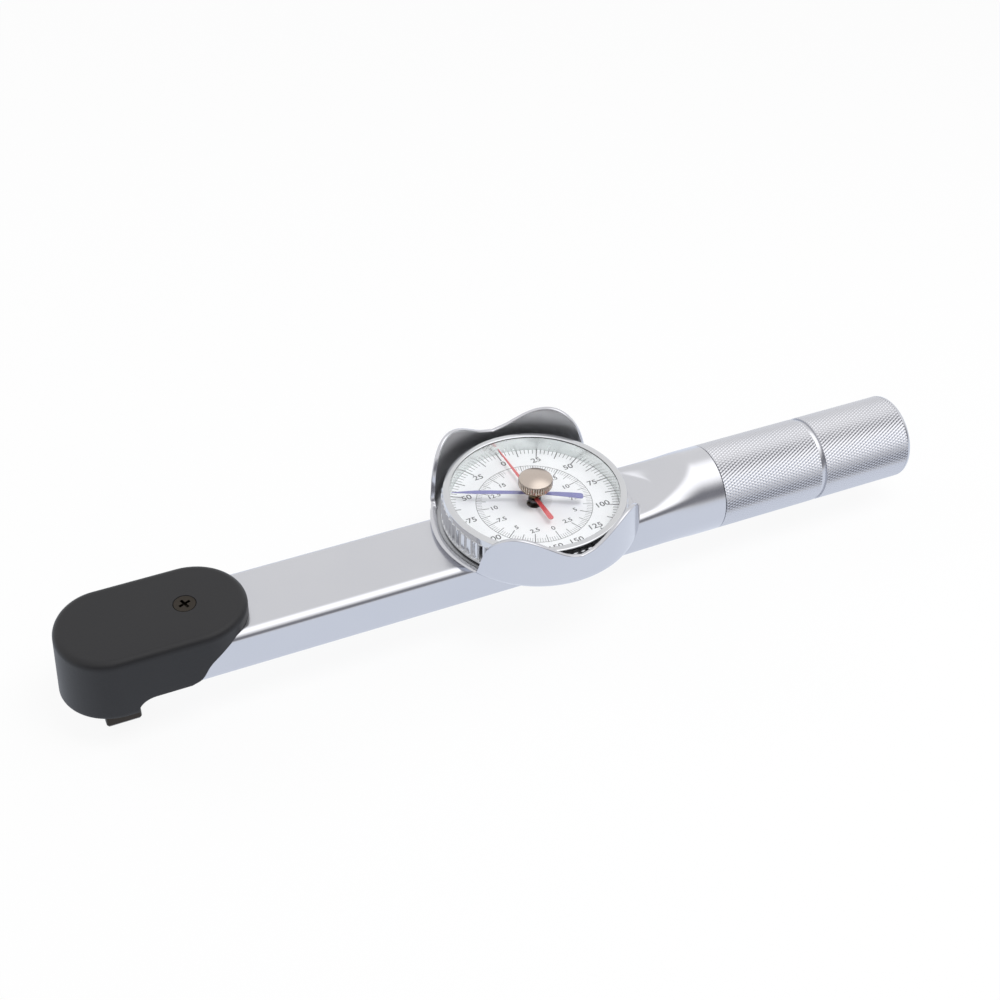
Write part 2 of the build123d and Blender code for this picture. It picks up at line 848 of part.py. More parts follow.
def movement_upper_plate():
    plate = movement_plate(upper_plate_bottom)
    for x, y in seat_screw_places():
        plate -= disc(seat_screw_d, upper_plate_bottom - past, inner_top + past, x, y)
    plate -= disc(jewel_d, upper_plate_bottom - past, inner_top + past, idler_x)
    plate -= disc(staff_d + 2 * staff_hole_play, upper_plate_bottom - past, inner_top + past, dial_x)
    return plate


def movement_pillars():
    pillars = []
    for x, y in pillar_places():
        pillar = disc(pillar_d, lower_plate_top, upper_plate_bottom, x, y)
        hole_top = lower_plate_top + pillar_screw_grip
        pillars.append(pillar - disc(pillar_screw_d, lower_plate_top - past, hole_top, x, y))
    return Part() + pillars


def movement_screws():
    screws = []
    for x, y in pillar_places():
        head = disc(pillar_screw_head_d, lower_plate_bottom - pillar_screw_head_t, lower_plate_bottom, x, y)
        shank = disc(pillar_screw_d, lower_plate_bottom, lower_plate_top + pillar_screw_grip, x, y)
        screws.append(head + shank)
    return Part() + screws


def jewel(bottom, x):
    """A small brass bearing pressed into a movement plate."""
    hole = disc(pivot_d + 2 * running_gap, bottom - past, bottom + plate_t + past, x)
    return disc(jewel_d, bottom, bottom + plate_t, x) - hole


def idler_bearings():
    return Part() + [jewel(lower_plate_bottom, idler_x), jewel(upper_plate_bottom, idler_x)]


def staff_foot_bearing():
    return jewel(lower_plate_bottom, dial_x)


def staff_bush():
    bush_ring = disc(staff_bush_d, seat_bottom, seat_top, dial_x)
    return bush_ring - disc(staff_d + 2 * running_gap, seat_bottom - past, seat_top + past, dial_x)


# Hairspring
def spiral_point(turn, side):
    """A point on one face of the hairspring's strip, so many turns from its inner end."""
    growth = (hairspring_outer_r - hairspring_inner_r) / hairspring_turns
    radius = hairspring_inner_r + growth * turn + side * hairspring_strip_t / 2
    angle = 2 * pi * turn
    return (radius * cos(angle), radius * sin(angle))


def hairspring():
    steps = int(hairspring_turns * 12)
    turns = [k * hairspring_turns / steps for k in range(steps + 1)]
    inner = [spiral_point(t, -1) for t in turns]
    outer = [spiral_point(t, 1) for t in reversed(turns)]
    strip = make_face(Polyline(*(inner + outer), close=True))
    spring = extrude(Pos(0, 0, hairspring_bottom) * strip, hairspring_strip_h)
    return Pos(dial_x, 0, 0) * spring


def hairspring_stud():
    r = hairspring_outer_r + hairspring_strip_t / 2 + hairspring_stud_d / 2
    return disc(hairspring_stud_d, hairspring_bottom, upper_plate_bottom, dial_x + r)


def hairspring_collet():
    bottom = hairspring_bottom - collet_overhang
    top = hairspring_bottom + hairspring_strip_h + collet_overhang
    return disc(collet_d, bottom, top, dial_x) - disc(staff_d, bottom - past, top + past, dial_x)


# Dial guard
def guard_wave_face():
    """Side view of the guard: its two walls' wave, which stands on the low lip that runs all round."""
    lip = guard_floor_top + guard_lip
    foot_x = guard_r - guard_foot_inset
    by_angle = [
        (guard_foot_angle, guard_heel_h),
        (guard_end_angle, guard_toe_h),
        (guard_shoulder_angle, guard_shoulder_h),
        (guard_peak_angle, guard_peak_h),
        (guard_peak_angle / 2, (guard_peak_h + guard_valley_h) / 2),
    ]
    right = [(guard_r * sin(radians(angle)), half_h + height) for angle, height in by_angle]
    left = [(-x, z) for x, z in right]
    foot = (foot_x, seat_bottom)
    edge = Spline((-foot_x, seat_bottom), *left, (0, half_h + guard_valley_h), *right[::-1], foot)
    base = Polyline(foot, (foot_x, 0), (-foot_x, 0), (-foot_x, seat_bottom))
    rim = Pos(0, lip / 2) * Rectangle(guard_d + 2 * past, lip)
    return make_face(edge.edges() + base.edges()) + rim


def dial_guard():
    height = guard_peak_h + past
    outside = Pos(0, 0, half_h + height / 2) * Cylinder(guard_r, height)
    outside = fillet(outside.edges().sort_by(Axis.Z)[0], guard_corner_r)
    inside = Pos(0, 0, guard_floor_top + height / 2) * Cylinder(guard_r - guard_t, height)
    inside = fillet(inside.edges().sort_by(Axis.Z)[0], guard_corner_r - guard_t)
    cup = outside - inside
    cup &= extrude(Plane.XZ * guard_wave_face(), guard_d, both=True)
    cup -= disc(guard_hole_d, 0, guard_floor_top + past)
    cup = Pos(dial_x, 0, 0) * cup
    for x, y in seat_screw_places():
        cup -= disc(seat_screw_d, 0, guard_floor_top + past, x, y)
    return cup


# Bezel seat, bezel and what the bezel carries
def bezel_seat():
    groove_bottom = snap_z - snap_play
    groove_top = snap_z + snap_wire_d + snap_play
    seat_r = seat_d / 2
    floor_r = seat_r - seat_groove_depth
    seat = turned([
        (seat_bore_d / 2, seat_bottom),
        (seat_r, seat_bottom),
        (seat_r, groove_bottom),
        (floor_r, groove_bottom),
        (floor_r, groove_top),
        (seat_r, groove_top),
        (seat_r, seat_top),
        (seat_bore_d / 2, seat_top),
    ], dial_x)
    for x, y in seat_screw_places():
        seat -= countersunk(seat_screw_head_d, seat_screw_d, seat_top, 0, x, y)
    return seat


def seat_screws():
    screws = [
        countersunk(seat_screw_head_d, seat_screw_d, seat_top, upper_plate_bottom, x, y)
        for x, y in seat_screw_places()
    ]
    return Part() + screws


def bezel_gasket():
    outer = seat_d / 2 - gasket_inset
    return turned([
        (outer - gasket_w, seat_top),
        (outer, seat_top),
        (outer, seat_top + gasket_t),
        (outer - gasket_w, seat_top + gasket_t),
    ], dial_x)


def bezel():
    """The turned ring: skirt, ledge for the dial, rebate for the crystal and rim, in a fluted grip."""
    skirt_r = seat_d / 2 + bezel_seat_gap
    grip_r = bezel_grip_d / 2
    foot_r = grip_r - bezel_foot_step
    neck_r = grip_r - flute_depth - bezel_foot_step
    rim_r = bezel_rim_d / 2
    rim_round = bezel_rim_h / 3
    window_r = bezel_window_d / 2
    crystal_r = crystal_d / 2 + crystal_fit
    groove_r = skirt_r + snap_wire_d / 2
    groove_bottom = snap_z - snap_play
    groove_top = snap_z + snap_wire_d + snap_play
    grip_bottom = bezel_bottom + bezel_foot_t
    core = turned([
        (skirt_r, bezel_bottom),
        (foot_r, bezel_bottom),
        (foot_r, grip_bottom),
        (neck_r, grip_bottom),
        (neck_r, bezel_grip_top),
        (rim_r, bezel_grip_top),
        (rim_r, bezel_rim_top - rim_round),
        (rim_r - rim_round, bezel_rim_top),
        (window_r, bezel_rim_top),
        (window_r, crystal_top),
        (crystal_r, crystal_top),
        (crystal_r, crystal_bottom),
        (window_r, crystal_bottom),
        (window_r, ledge_top),
        (ledge_in_d / 2, ledge_top),
        (ledge_in_d / 2, ledge_bottom),
        (skirt_r, ledge_bottom),
        (skirt_r, groove_top),
        (groove_r, groove_top),
        (groove_r, groove_bottom),
        (skirt_r, groove_bottom),
    ])
    grip = fluted_outline(grip_r) - Circle((skirt_r + neck_r) / 2)
    core += extrude(Pos(0, 0, grip_bottom) * grip, bezel_grip_top - grip_bottom)
    return Pos(dial_x, 0, 0) * core


def fluted_outline(grip_r):
    """The grip's outline: flat lands with a flat-bottomed flute between each two."""
    pitch = 360 / flute_count
    mouth, floor = pitch * flute_mouth_share / 2, pitch * flute_floor_share / 2
    points = []
    for k in range(flute_count):
        middle = k * pitch
        points += [
            on_circle(grip_r, middle - mouth),
            on_circle(grip_r - flute_depth, middle - floor),
            on_circle(grip_r - flute_depth, middle + floor),
            on_circle(grip_r, middle + mouth),
        ]
    return make_face(Polyline(*points, close=True))


def snap_ring():
    """The open wire ring that holds the bezel down on its seat."""
    ring_r = (seat_d + bezel_seat_gap) / 2 - snap_play
    section = Plane.XZ * Pos(ring_r, snap_z + snap_wire_d / 2) * RegularPolygon(snap_wire_d / 2, 6)
    ring = revolve(section, Axis.Z, 360 - snap_gap_angle)
    return Pos(dial_x, 0, 0) * Rot(0, 0, snap_gap_angle / 2) * ring


def dial_plate():
    plate = disc(bezel_window_d - 2 * dial_fit, ledge_top, dial_top, dial_x)
    return plate - disc(dial_hole_d, 0, dial_top + past, dial_x)


def crystal():
    lens = disc(crystal_d, crystal_bottom, crystal_top, dial_x)
    return lens - disc(crystal_bush_d, 0, crystal_top + past, dial_x)


def crystal_bush():
    bore_r = stem_d / 2 + running_gap
    return turned([
        (bore_r, crystal_bottom),
        (crystal_bush_d / 2, crystal_bottom),
        (crystal_bush_d / 2, crystal_top),
        (crystal_bush_flange_d / 2, crystal_top),
        (crystal_bush_flange_d / 2, flange_top),
        (bore_r, flange_top),
    ], dial_x)


# Pointers
def blade(reach, tail, root_w, tip_w, tail_w, bottom, thickness):
    """A pointer's blade along +X: a long taper to the tip and a tail that widens to a rounded end."""
    outline = [
        (reach, -tip_w / 2),
        (reach + tip_w, 0),
        (reach, tip_w / 2),
        (0, root_w / 2),
        (-tail + tail_w / 2, tail_w / 2),
        (-tail + tail_w * 0.15, tail_w * 0.35),
        (-tail, 0),
        (-tail + tail_w * 0.15, -tail_w * 0.35),
        (-tail + tail_w / 2, -tail_w / 2),
        (0, -root_w / 2),
    ]
    return extrude(Pos(0, 0, bottom) * make_face(Polyline(*outline, close=True)), thickness)


def torque_pointer():
    hand = blade(pointer_reach, pointer_tail, pointer_root_w, pointer_tip_w, pointer_tail_w,
                 pointer_z, pointer_t)
    hand += disc(pointer_hub_d, pointer_hub_bottom, pointer_z + pointer_t)
    hand -= disc(staff_d, 0, staff_top + past)
    return Pos(dial_x, 0, 0) * Rot(0, 0, pointer_zero) * hand


def memory_pointer():
    hand = blade(memory_reach, memory_tail, memory_root_w, memory_tip_w, memory_tail_w,
                 memory_z, memory_t)
    hand += disc(memory_hub_low_d + 2 * memory_cone_step, memory_z, memory_z + memory_t)
    hand -= disc(stem_d, 0, memory_hub_top + past)
    return Pos(dial_x, 0, 0) * Rot(0, 0, memory_at) * hand


def memory_stem():
    """Turned brass stem: a cone under the crystal, a shank through its bush and up into the knob."""
    r = stem_d / 2
    low_r, high_r = memory_hub_low_d / 2, memory_hub_high_d / 2
    return turned([
        (0, memory_hub_bottom),
        (low_r, memory_hub_bottom),
        (low_r + memory_cone_step, memory_z),
        (r, memory_z),
        (r, memory_z + memory_t),
        (low_r + memory_cone_step, memory_z + memory_t),
        (high_r, memory_hub_top),
        (r, memory_hub_top),
        (r, knob_bottom + knob_socket_depth),
        (0, knob_bottom + knob_socket_depth),
    ], dial_x)


def friction_washer():
    washer = disc(crystal_bush_flange_d - 2 * washer_inset, flange_top + washer_gap, knob_bottom, dial_x)
    return washer - disc(stem_d, 0, knob_bottom + past, dial_x)


def memory_knob():
    band_bottom = knob_bottom + knob_cone_h
    band_top = band_bottom + knob_band_h
    knob_r = knob_d / 2
    sphere_r = (knob_r ** 2 + knob_dome_h ** 2) / (2 * knob_dome_h)
    dome = [
        (sphere_r * sin(a), knob_top - sphere_r * (1 - cos(a)))
        for a in [k / 6 * asin(knob_r / sphere_r) for k in range(6, -1, -1)]
    ]
    core = turned([
        (0, knob_bottom),
        (knob_neck_d / 2, knob_bottom),
        (knob_r - knob_tooth_depth - knob_step, band_bottom),
        (knob_r - knob_tooth_depth, band_top - 2 * knob_step),
        (knob_r - knob_step, band_top - knob_step),
    ] + dome)
    teeth = []
    for k in range(2 * knob_teeth):
        a = pi * k / knob_teeth
        r = knob_r if k % 2 == 0 else knob_r - knob_tooth_depth
        teeth.append((r * cos(a), r * sin(a)))
    band = make_face(Polyline(*teeth, close=True))
    core += extrude(Pos(0, 0, band_bottom) * band, knob_band_h - 2 * knob_step)
    core -= disc(stem_d, 0, knob_bottom + knob_socket_depth)
    return Pos(dial_x, 0, 0) * core


pieces = {
    "housing_tube": housing_tube,
    "handle_end_plug": handle_end_plug,
    "head_cover": head_cover,
    "cover_screw": cover_screw,
    "cover_nut": cover_nut,
    "upper_bush": upper_bush,
    "lower_bush": lower_bush,
    "torque_beam": torque_beam,
    "beam_anchor": beam_anchor,
    "anchor_screws": anchor_screws,
    "stop_pins": stop_pins,
    "dial_guard": dial_guard,
    "bezel_seat": bezel_seat,
    "seat_screws": seat_screws,
    "movement_lower_plate": movement_lower_plate,
    "movement_upper_plate": movement_upper_plate,
    "movement_pillars": movement_pillars,
    "movement_screws": movement_screws,
    "idler_bearings": idler_bearings,
    "staff_foot_bearing": staff_foot_bearing,
    "staff_bush": staff_bush,
    "bezel_gasket": bezel_gasket,
    "hairspring": hairspring,
    "hairspring_stud": hairspring_stud,
    "drive_head": drive_head,
    "head_clip": head_clip,
    "detent_spring": detent_spring,
    "indicator_arm": indicator_arm,
    "arm_screws": arm_screws,
    "sector_gear": sector_gear,
    "sector_rivets": sector_rivets,
    "detent_ball": detent_ball,
    "idler_pinion": idler_pinion,
    "idler_wheel": idler_wheel,
    "pointer_staff": pointer_staff,
    "hairspring_collet": hairspring_collet,
    "torque_pointer": torque_pointer,
    "bezel": bezel,
    "snap_ring": snap_ring,
    "dial_plate": dial_plate,
    "crystal": crystal,
    "crystal_bush": crystal_bush,
    "memory_knob": memory_knob,
    "memory_stem": memory_stem,
    "memory_pointer": memory_pointer,
    "friction_washer": friction_washer,
}

os.makedirs("parts", exist_ok=True)
lift = -square_tip
for name, make in pieces.items():
    piece = Pos(0, 0, lift) * make()
    export_step(piece, f"parts/{name}.step")
print(f"dial axis x {dial_x:.2f}, tube axis z {lift:.2f}")
print(f"drive travel +-{drive_travel:.4f} deg, train ratio {train_ratio:.4f}")
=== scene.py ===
# %% [markdown]
# A dial torque wrench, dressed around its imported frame.
# The frame holds every piece of the real tool at its real size.
# This lesson adds the surfaces that the eye sees: satin plating, a rolled knurl, a printed dial and a guard
# with a wave-shaped edge.
# Each piece is a function of two parameters, worked out with numpy as whole arrays and given to a mesh.

# %% Load the frame
import json
import math

import bpy
import numpy as np
from mathutils import Matrix, Vector


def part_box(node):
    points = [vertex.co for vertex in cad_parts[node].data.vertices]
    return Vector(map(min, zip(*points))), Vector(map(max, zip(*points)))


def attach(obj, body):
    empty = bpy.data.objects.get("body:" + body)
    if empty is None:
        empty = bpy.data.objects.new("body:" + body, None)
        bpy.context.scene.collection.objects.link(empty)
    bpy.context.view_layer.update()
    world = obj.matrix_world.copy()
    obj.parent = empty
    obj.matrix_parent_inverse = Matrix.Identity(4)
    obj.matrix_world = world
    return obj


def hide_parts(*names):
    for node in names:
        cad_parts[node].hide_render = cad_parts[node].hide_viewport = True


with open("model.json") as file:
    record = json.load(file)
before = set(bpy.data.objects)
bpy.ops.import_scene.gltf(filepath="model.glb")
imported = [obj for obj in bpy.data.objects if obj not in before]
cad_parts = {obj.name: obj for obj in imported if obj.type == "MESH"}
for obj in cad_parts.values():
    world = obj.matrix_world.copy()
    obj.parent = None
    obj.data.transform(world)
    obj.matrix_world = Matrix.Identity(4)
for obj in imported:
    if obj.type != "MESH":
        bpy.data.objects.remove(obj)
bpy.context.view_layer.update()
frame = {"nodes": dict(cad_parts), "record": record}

MM = 0.001
nodes = frame["nodes"]
scene = bpy.context.scene


def node_box(name):
    """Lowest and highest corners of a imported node, in millimetres."""
    low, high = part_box(name)
    return np.array(low) / MM, np.array(high) / MM


tube_low, tube_high = node_box("housing_tube")
cover_low, cover_high = node_box("head_cover")
guard_low, guard_high = node_box("dial_guard")
bezel_low, bezel_high = node_box("bezel")
plate_low, plate_high = node_box("dial_plate")
knob_low, knob_high = node_box("memory_knob")

HANDLE_R = (tube_high[1] - tube_low[1]) / 2
AXIS_Z = tube_high[2] - HANDLE_R
HANDLE_END = tube_high[0]
DIAL_X = (plate_low[0] + plate_high[0]) / 2
DIAL_TOP = plate_high[2]
TUBE_TOP = guard_low[2]
TUBE_HALF_H = TUBE_TOP - AXIS_Z
print(f"dial axis at x {DIAL_X:.1f}, tube axis at z {AXIS_Z:.1f}, dial face at z {DIAL_TOP:.1f}")

# %% [markdown]
# The camera stands where the photographer stood.
# Its place was worked out from the tube's edges and the dial's circles, so it is given as three turns and
# three distances.
# A long lens could be guessed by eye, but a fitted one keeps the taper of the tube right from end to end.

# %% Camera
VIEW_AZIMUTH = math.radians(25.66)
VIEW_ELEVATION = math.radians(40.54)
VIEW_ROLL = math.radians(1.93)
DIAL_RIGHT, DIAL_UP, DIAL_AHEAD = 9.35, -10.34, 458.08
FOCAL_PIXELS = 1600.0
FRAME_PIXELS = 1000.0
SENSOR = 36.0


def aim_camera():
    """Axes from azimuth, elevation and roll; the eye is set back from the dial along them."""
    sa, ca = math.sin(VIEW_AZIMUTH), math.cos(VIEW_AZIMUTH)
    se, ce = math.sin(VIEW_ELEVATION), math.cos(VIEW_ELEVATION)
    ahead = Vector((sa * ce, ca * ce, -se))
    level = Vector((ca, -sa, 0))
    above = level.cross(ahead)
    right = level * math.cos(VIEW_ROLL) + above * math.sin(VIEW_ROLL)
    up = above * math.cos(VIEW_ROLL) - level * math.sin(VIEW_ROLL)
    eye = Vector((DIAL_X, 0, AXIS_Z)) - right * DIAL_RIGHT - up * DIAL_UP - ahead * DIAL_AHEAD
    turn = Matrix((right, up, -ahead)).transposed().to_4x4()
    data = bpy.data.cameras.new("photo_camera")
    data.sensor_width = SENSOR
    data.lens = SENSOR * FOCAL_PIXELS / FRAME_PIXELS
    data.clip_start = 0.01
    camera = bpy.data.objects.new("photo_camera", data)
    camera.matrix_world = Matrix.Translation(eye * MM) @ turn
    scene.collection.objects.link(camera)
    scene.camera = camera
    return camera


camera = aim_camera()
scene.view_settings.view_transform = "Standard"
print("camera at", [round(v, 4) for v in camera.location])

# %% [markdown]
# Plated steel has almost no colour of its own, so it shows the room.
# The room here is a white sweep that glows overhead, as under a large soft box, with a grey strip in front.
# The glow gives each rounded surface its highlight, and the strip gives it the soft dark band below that.
# Lamps could do the same, but a disc lamp leaves a hard bright spot in polished metal, so the lamps only
# light the paint and the plastic.

# %% Node helpers
def give(tree, socket, value):
    """Links another socket to this one, or sets a plain number or colour on it."""
    if isinstance(value, bpy.types.NodeSocket):
        tree.links.new(value, socket)
    else:
        socket.default_value = value


def add(tree, kind, **values):
    """A node with its named inputs and settings filled in."""
    node = tree.nodes.new(kind)
    for key, value in values.items():
        if key in node.inputs:
            give(tree, node.inputs[key], value)
        else:
            setattr(node, key, value)
    return node


def maths(tree, operation, a, b=0.0, clamp=False):
    """One step of arithmetic on values or sockets."""
    node = add(tree, "ShaderNodeMath", operation=operation, use_clamp=clamp)
    give(tree, node.inputs[0], a)
    give(tree, node.inputs[1], b)
    return node.outputs[0]


def remap(tree, value, low, high, to_low=0.0, to_high=1.0):
    """A smooth step of a value between two ends: three times its square less twice its cube."""
    node = add(tree, "ShaderNodeMapRange", interpolation_type="SMOOTHSTEP")
    ends = {"Value": value, "From Min": low, "From Max": high, "To Min": to_low, "To Max": to_high}
    for label, end in ends.items():
        give(tree, node.inputs[label], end)
    return node.outputs["Result"]


def mix_colour(tree, share, a, b):
    """Colour a to colour b by a share."""
    node = add(tree, "ShaderNodeMix", data_type="RGBA")
    colours = [socket for socket in node.inputs if socket.type == "RGBA"]
    give(tree, node.inputs[0], share)
    give(tree, colours[0], a)
    give(tree, colours[1], b)
    return [socket for socket in node.outputs if socket.type == "RGBA"][0]


def mix_shaders(tree, share, a, b):
    """Shader a to shader b by a share."""
    node = tree.nodes.new("ShaderNodeMixShader")
    tree.links.new(share, node.inputs[0])
    tree.links.new(a.outputs[0], node.inputs[1])
    tree.links.new(b.outputs[0], node.inputs[2])
    return node


# %% Room and lamps
ROOM_LIGHT = 0.55
STRIP_GREY = 0.26
STRIP_BLUE = 1.1
STRIP_FOOT = (-0.04, 0.22)
STRIP_HEAD = (0.45, 0.72)
STRIP_SIDE = (-0.55, -0.05)
GLOW = 0.85
GLOW_WAY = (0.33, -0.10, 0.94)
GLOW_EDGE = (0.78, 0.98)
WHITE = (1, 1, 1, 1)


def strip_and_glow(tree):
    """Colour and strength of the room by direction.

    The strip is the product of three smooth steps: two of the direction's rise, one of its way to the front.
    The glow is a smooth step of the cosine between the direction and the middle of the glow.
    """
    way = add(tree, "ShaderNodeTexCoord").outputs["Generated"]
    parts = add(tree, "ShaderNodeSeparateXYZ", Vector=way)
    above = remap(tree, parts.outputs["Z"], *STRIP_FOOT)
    below = remap(tree, parts.outputs["Z"], *STRIP_HEAD, 1.0, 0.0)
    front = remap(tree, parts.outputs["Y"], *STRIP_SIDE, 1.0, 0.0)
    strip = maths(tree, "MULTIPLY", maths(tree, "MULTIPLY", above, below), front)
    towards = add(tree, "ShaderNodeVectorMath", operation="DOT_PRODUCT")
    give(tree, towards.inputs[0], way)
    give(tree, towards.inputs[1], GLOW_WAY)
    glow = remap(tree, towards.outputs["Value"], *GLOW_EDGE, 1.0, 1.0 + GLOW)
    shade = (STRIP_GREY, STRIP_GREY, STRIP_GREY * STRIP_BLUE, 1)
    return mix_colour(tree, strip, WHITE, shade), glow


def build_room():
    """White to the eye, the strip and the glow to mirrors and glass, and an even light to paint."""
    world = bpy.data.worlds.new("room")
    world.use_nodes = True
    scene.world = world
    tree = world.node_tree
    tree.nodes.clear()
    shown, glow = strip_and_glow(tree)
    mirrored = add(tree, "ShaderNodeBackground", Color=shown, Strength=glow)
    plain = add(tree, "ShaderNodeBackground", Color=WHITE, Strength=1.0)
    lit = add(tree, "ShaderNodeBackground", Color=WHITE, Strength=ROOM_LIGHT)
    path = add(tree, "ShaderNodeLightPath")
    sharp = maths(tree, "MAXIMUM", path.outputs["Is Transmission Ray"], path.outputs["Is Glossy Ray"])
    indoors = mix_shaders(tree, sharp, lit, mirrored)
    both = mix_shaders(tree, path.outputs["Is Camera Ray"], indoors, plain)
    out = add(tree, "ShaderNodeOutputWorld")
    tree.links.new(both.outputs[0], out.inputs["Surface"])


def area_lamp(name, place, size, watts):
    """A soft round lamp that is aimed at the dial and doesn't show in metal."""
    data = bpy.data.lights.new(name, "AREA")
    data.shape = "DISK"
    data.size = size
    data.energy = watts
    lamp = bpy.data.objects.new(name, data)
    lamp.location = place
    aim = Vector((DIAL_X * MM, 0, DIAL_TOP * MM)) - Vector(place)
    lamp.rotation_euler = aim.to_track_quat("-Z", "Y").to_euler()
    lamp.visible_glossy = False
    scene.collection.objects.link(lamp)
    print(f"{name}: {watts} W, {aim.length:.2f} m from the dial")


build_room()
area_lamp("soft_box", (0.18, -0.20, 0.62), 0.30, 2.0)
area_lamp("rim_box", (-0.35, 0.45, 0.45), 0.30, 0.85)
area_lamp("handle_box", (0.55, -0.10, 0.50), 0.20, 0.5)

# %% [markdown]
# A finish is more than a colour: plating has faint grain, moulded plastic has a fine pebble, ink is matt.
# Each effect is a small group with its own sockets, built once and placed in every material that needs it.

# %% Shader groups
SMUDGE_SCALE, SMUDGE_EDGE, SMUDGE_SHARE = 38.0, (0.35, 0.75), 0.6
PEBBLE_FINE_SHARE, PEBBLE_DRIFT_SCALE = 0.8, 60.0


def group(name, inputs, outputs):
    """An empty node group with named sockets."""
    tree = bpy.data.node_groups.new(name, "ShaderNodeTree")
    for label, kind, value in inputs:
        socket = tree.interface.new_socket(label, in_out="INPUT", socket_type=kind)
        if value is not None:
            socket.default_value = value
    for label, kind in outputs:
        tree.interface.new_socket(label, in_out="OUTPUT", socket_type=kind)
    return tree, tree.nodes.new("NodeGroupInput"), tree.nodes.new("NodeGroupOutput")


def noise(tree, vector, scale, detail):
    """Plain noise on a vector, from 0 to 1."""
    return add(tree, "ShaderNodeTexNoise", Vector=vector, Scale=scale, Detail=detail).outputs["Fac"]


def build_grain():
    """Noise at two scales: roughness that varies along the polish, a height for scratches, and smudges."""
    tree, feed, out = group(
        "polish_grain",
        [
            ("Vector", "NodeSocketVector", None),
            ("Scale", "NodeSocketFloat", 900.0),
            ("Roughness", "NodeSocketFloat", 0.25),
            ("Variation", "NodeSocketFloat", 0.08),
        ],
        [("Roughness", "NodeSocketFloat"), ("Height", "NodeSocketFloat"), ("Smudge", "NodeSocketFloat")],
    )
    fine = noise(tree, feed.outputs["Vector"], feed.outputs["Scale"], 4.0)
    broad = noise(tree, feed.outputs["Vector"], SMUDGE_SCALE, 3.0)
    smudge = remap(tree, broad, *SMUDGE_EDGE)
    sway = maths(tree, "SUBTRACT", fine, 0.5)
    sway = maths(tree, "ADD", sway, maths(tree, "MULTIPLY", smudge, SMUDGE_SHARE))
    swing = maths(tree, "MULTIPLY", sway, feed.outputs["Variation"])
    tree.links.new(maths(tree, "ADD", swing, feed.outputs["Roughness"], True), out.inputs["Roughness"])
    tree.links.new(fine, out.inputs["Height"])
    tree.links.new(smudge, out.inputs["Smudge"])
    return tree


def build_pebble():
    """Cell noise with fine noise on it: the spark-eroded texture of a moulded cover."""
    tree, feed, out = group(
        "moulded_pebble",
        [("Vector", "NodeSocketVector", None), ("Scale", "NodeSocketFloat", 1500.0)],
        [("Height", "NodeSocketFloat"), ("Shade", "NodeSocketFloat")],
    )
    vector, scale = feed.outputs["Vector"], feed.outputs["Scale"]
    cells = add(tree, "ShaderNodeTexVoronoi", Vector=vector, Scale=scale)
    fine = maths(tree, "MULTIPLY", noise(tree, vector, scale, 3.0), PEBBLE_FINE_SHARE)
    tree.links.new(maths(tree, "ADD", cells.outputs["Distance"], fine), out.inputs["Height"])
    tree.links.new(noise(tree, vector, PEBBLE_DRIFT_SCALE, 2.0), out.inputs["Shade"])
    return tree


grain_group = build_grain()
pebble_group = build_pebble()
print("shader groups:", grain_group.name, pebble_group.name)

# %% [markdown]
# Four kinds of surface make up the tool: plated or bare metal, moulded plastic, enamel and clear acrylic.
# Each kind could be one material with a painted texture, but that needs an image and an unwrapped mesh.
# Here each kind is a function that builds a material from noise on the object's own coordinates, and the
# finishes differ only in the colours and numbers that are given to it.

# %% Material makers
def place_group(tree, group_tree, **values):
    """A shader group in a material, with its own values."""
    node = tree.nodes.new("ShaderNodeGroup")
    node.node_tree = group_tree
    for key, value in values.items():
        give(tree, node.inputs[key], value)
    return node


def start_material(name):
    """A material whose Principled shader is joined to its output."""
    material = bpy.data.materials.new(name)
    material.use_nodes = True
    tree = material.node_tree
    tree.nodes.clear()
    shader = tree.nodes.new("ShaderNodeBsdfPrincipled")
    out = tree.nodes.new("ShaderNodeOutputMaterial")
    tree.links.new(shader.outputs[0], out.inputs["Surface"])
    return material, tree, shader


def show_instead(tree, shader):
    """Joins another shader to the material's output."""
    out = [node for node in tree.nodes if node.type == "OUTPUT_MATERIAL"][0]
    tree.links.new(shader.outputs[0], out.inputs["Surface"])


def object_place(tree, stretch=(1, 1, 1)):
    """Object coordinates; squeezed along one axis, they turn noise into grain along it."""
    place = add(tree, "ShaderNodeTexCoord").outputs["Object"]
    return add(tree, "ShaderNodeMapping", Vector=place, Scale=stretch).outputs[0]


def relief(tree, shader, height, strength, depth):
    """A bump on the shader's normal, of a depth in metres."""
    bump = add(tree, "ShaderNodeBump", Height=height, Strength=strength, Distance=depth)
    tree.links.new(bump.outputs[0], shader.inputs["Normal"])


def metal(name, colour, tint, roughness, variation, grain=900.0, bump=0.02, stretch=(1, 1, 1)):
    """Bare or plated metal: two near shades by smudge, grain in roughness and a faint bump."""
    material, tree, shader = start_material(name)
    vector = object_place(tree, stretch)
    grained = place_group(
        tree, grain_group, Vector=vector, Scale=grain, Roughness=roughness, Variation=variation
    )
    shade = mix_colour(tree, grained.outputs["Smudge"], (*colour, 1), (*tint, 1))
    tree.links.new(shade, shader.inputs["Base Color"])
    shader.inputs["Metallic"].default_value = 1.0
    tree.links.new(grained.outputs["Roughness"], shader.inputs["Roughness"])
    relief(tree, shader, grained.outputs["Height"], bump, 0.00005)
    return material


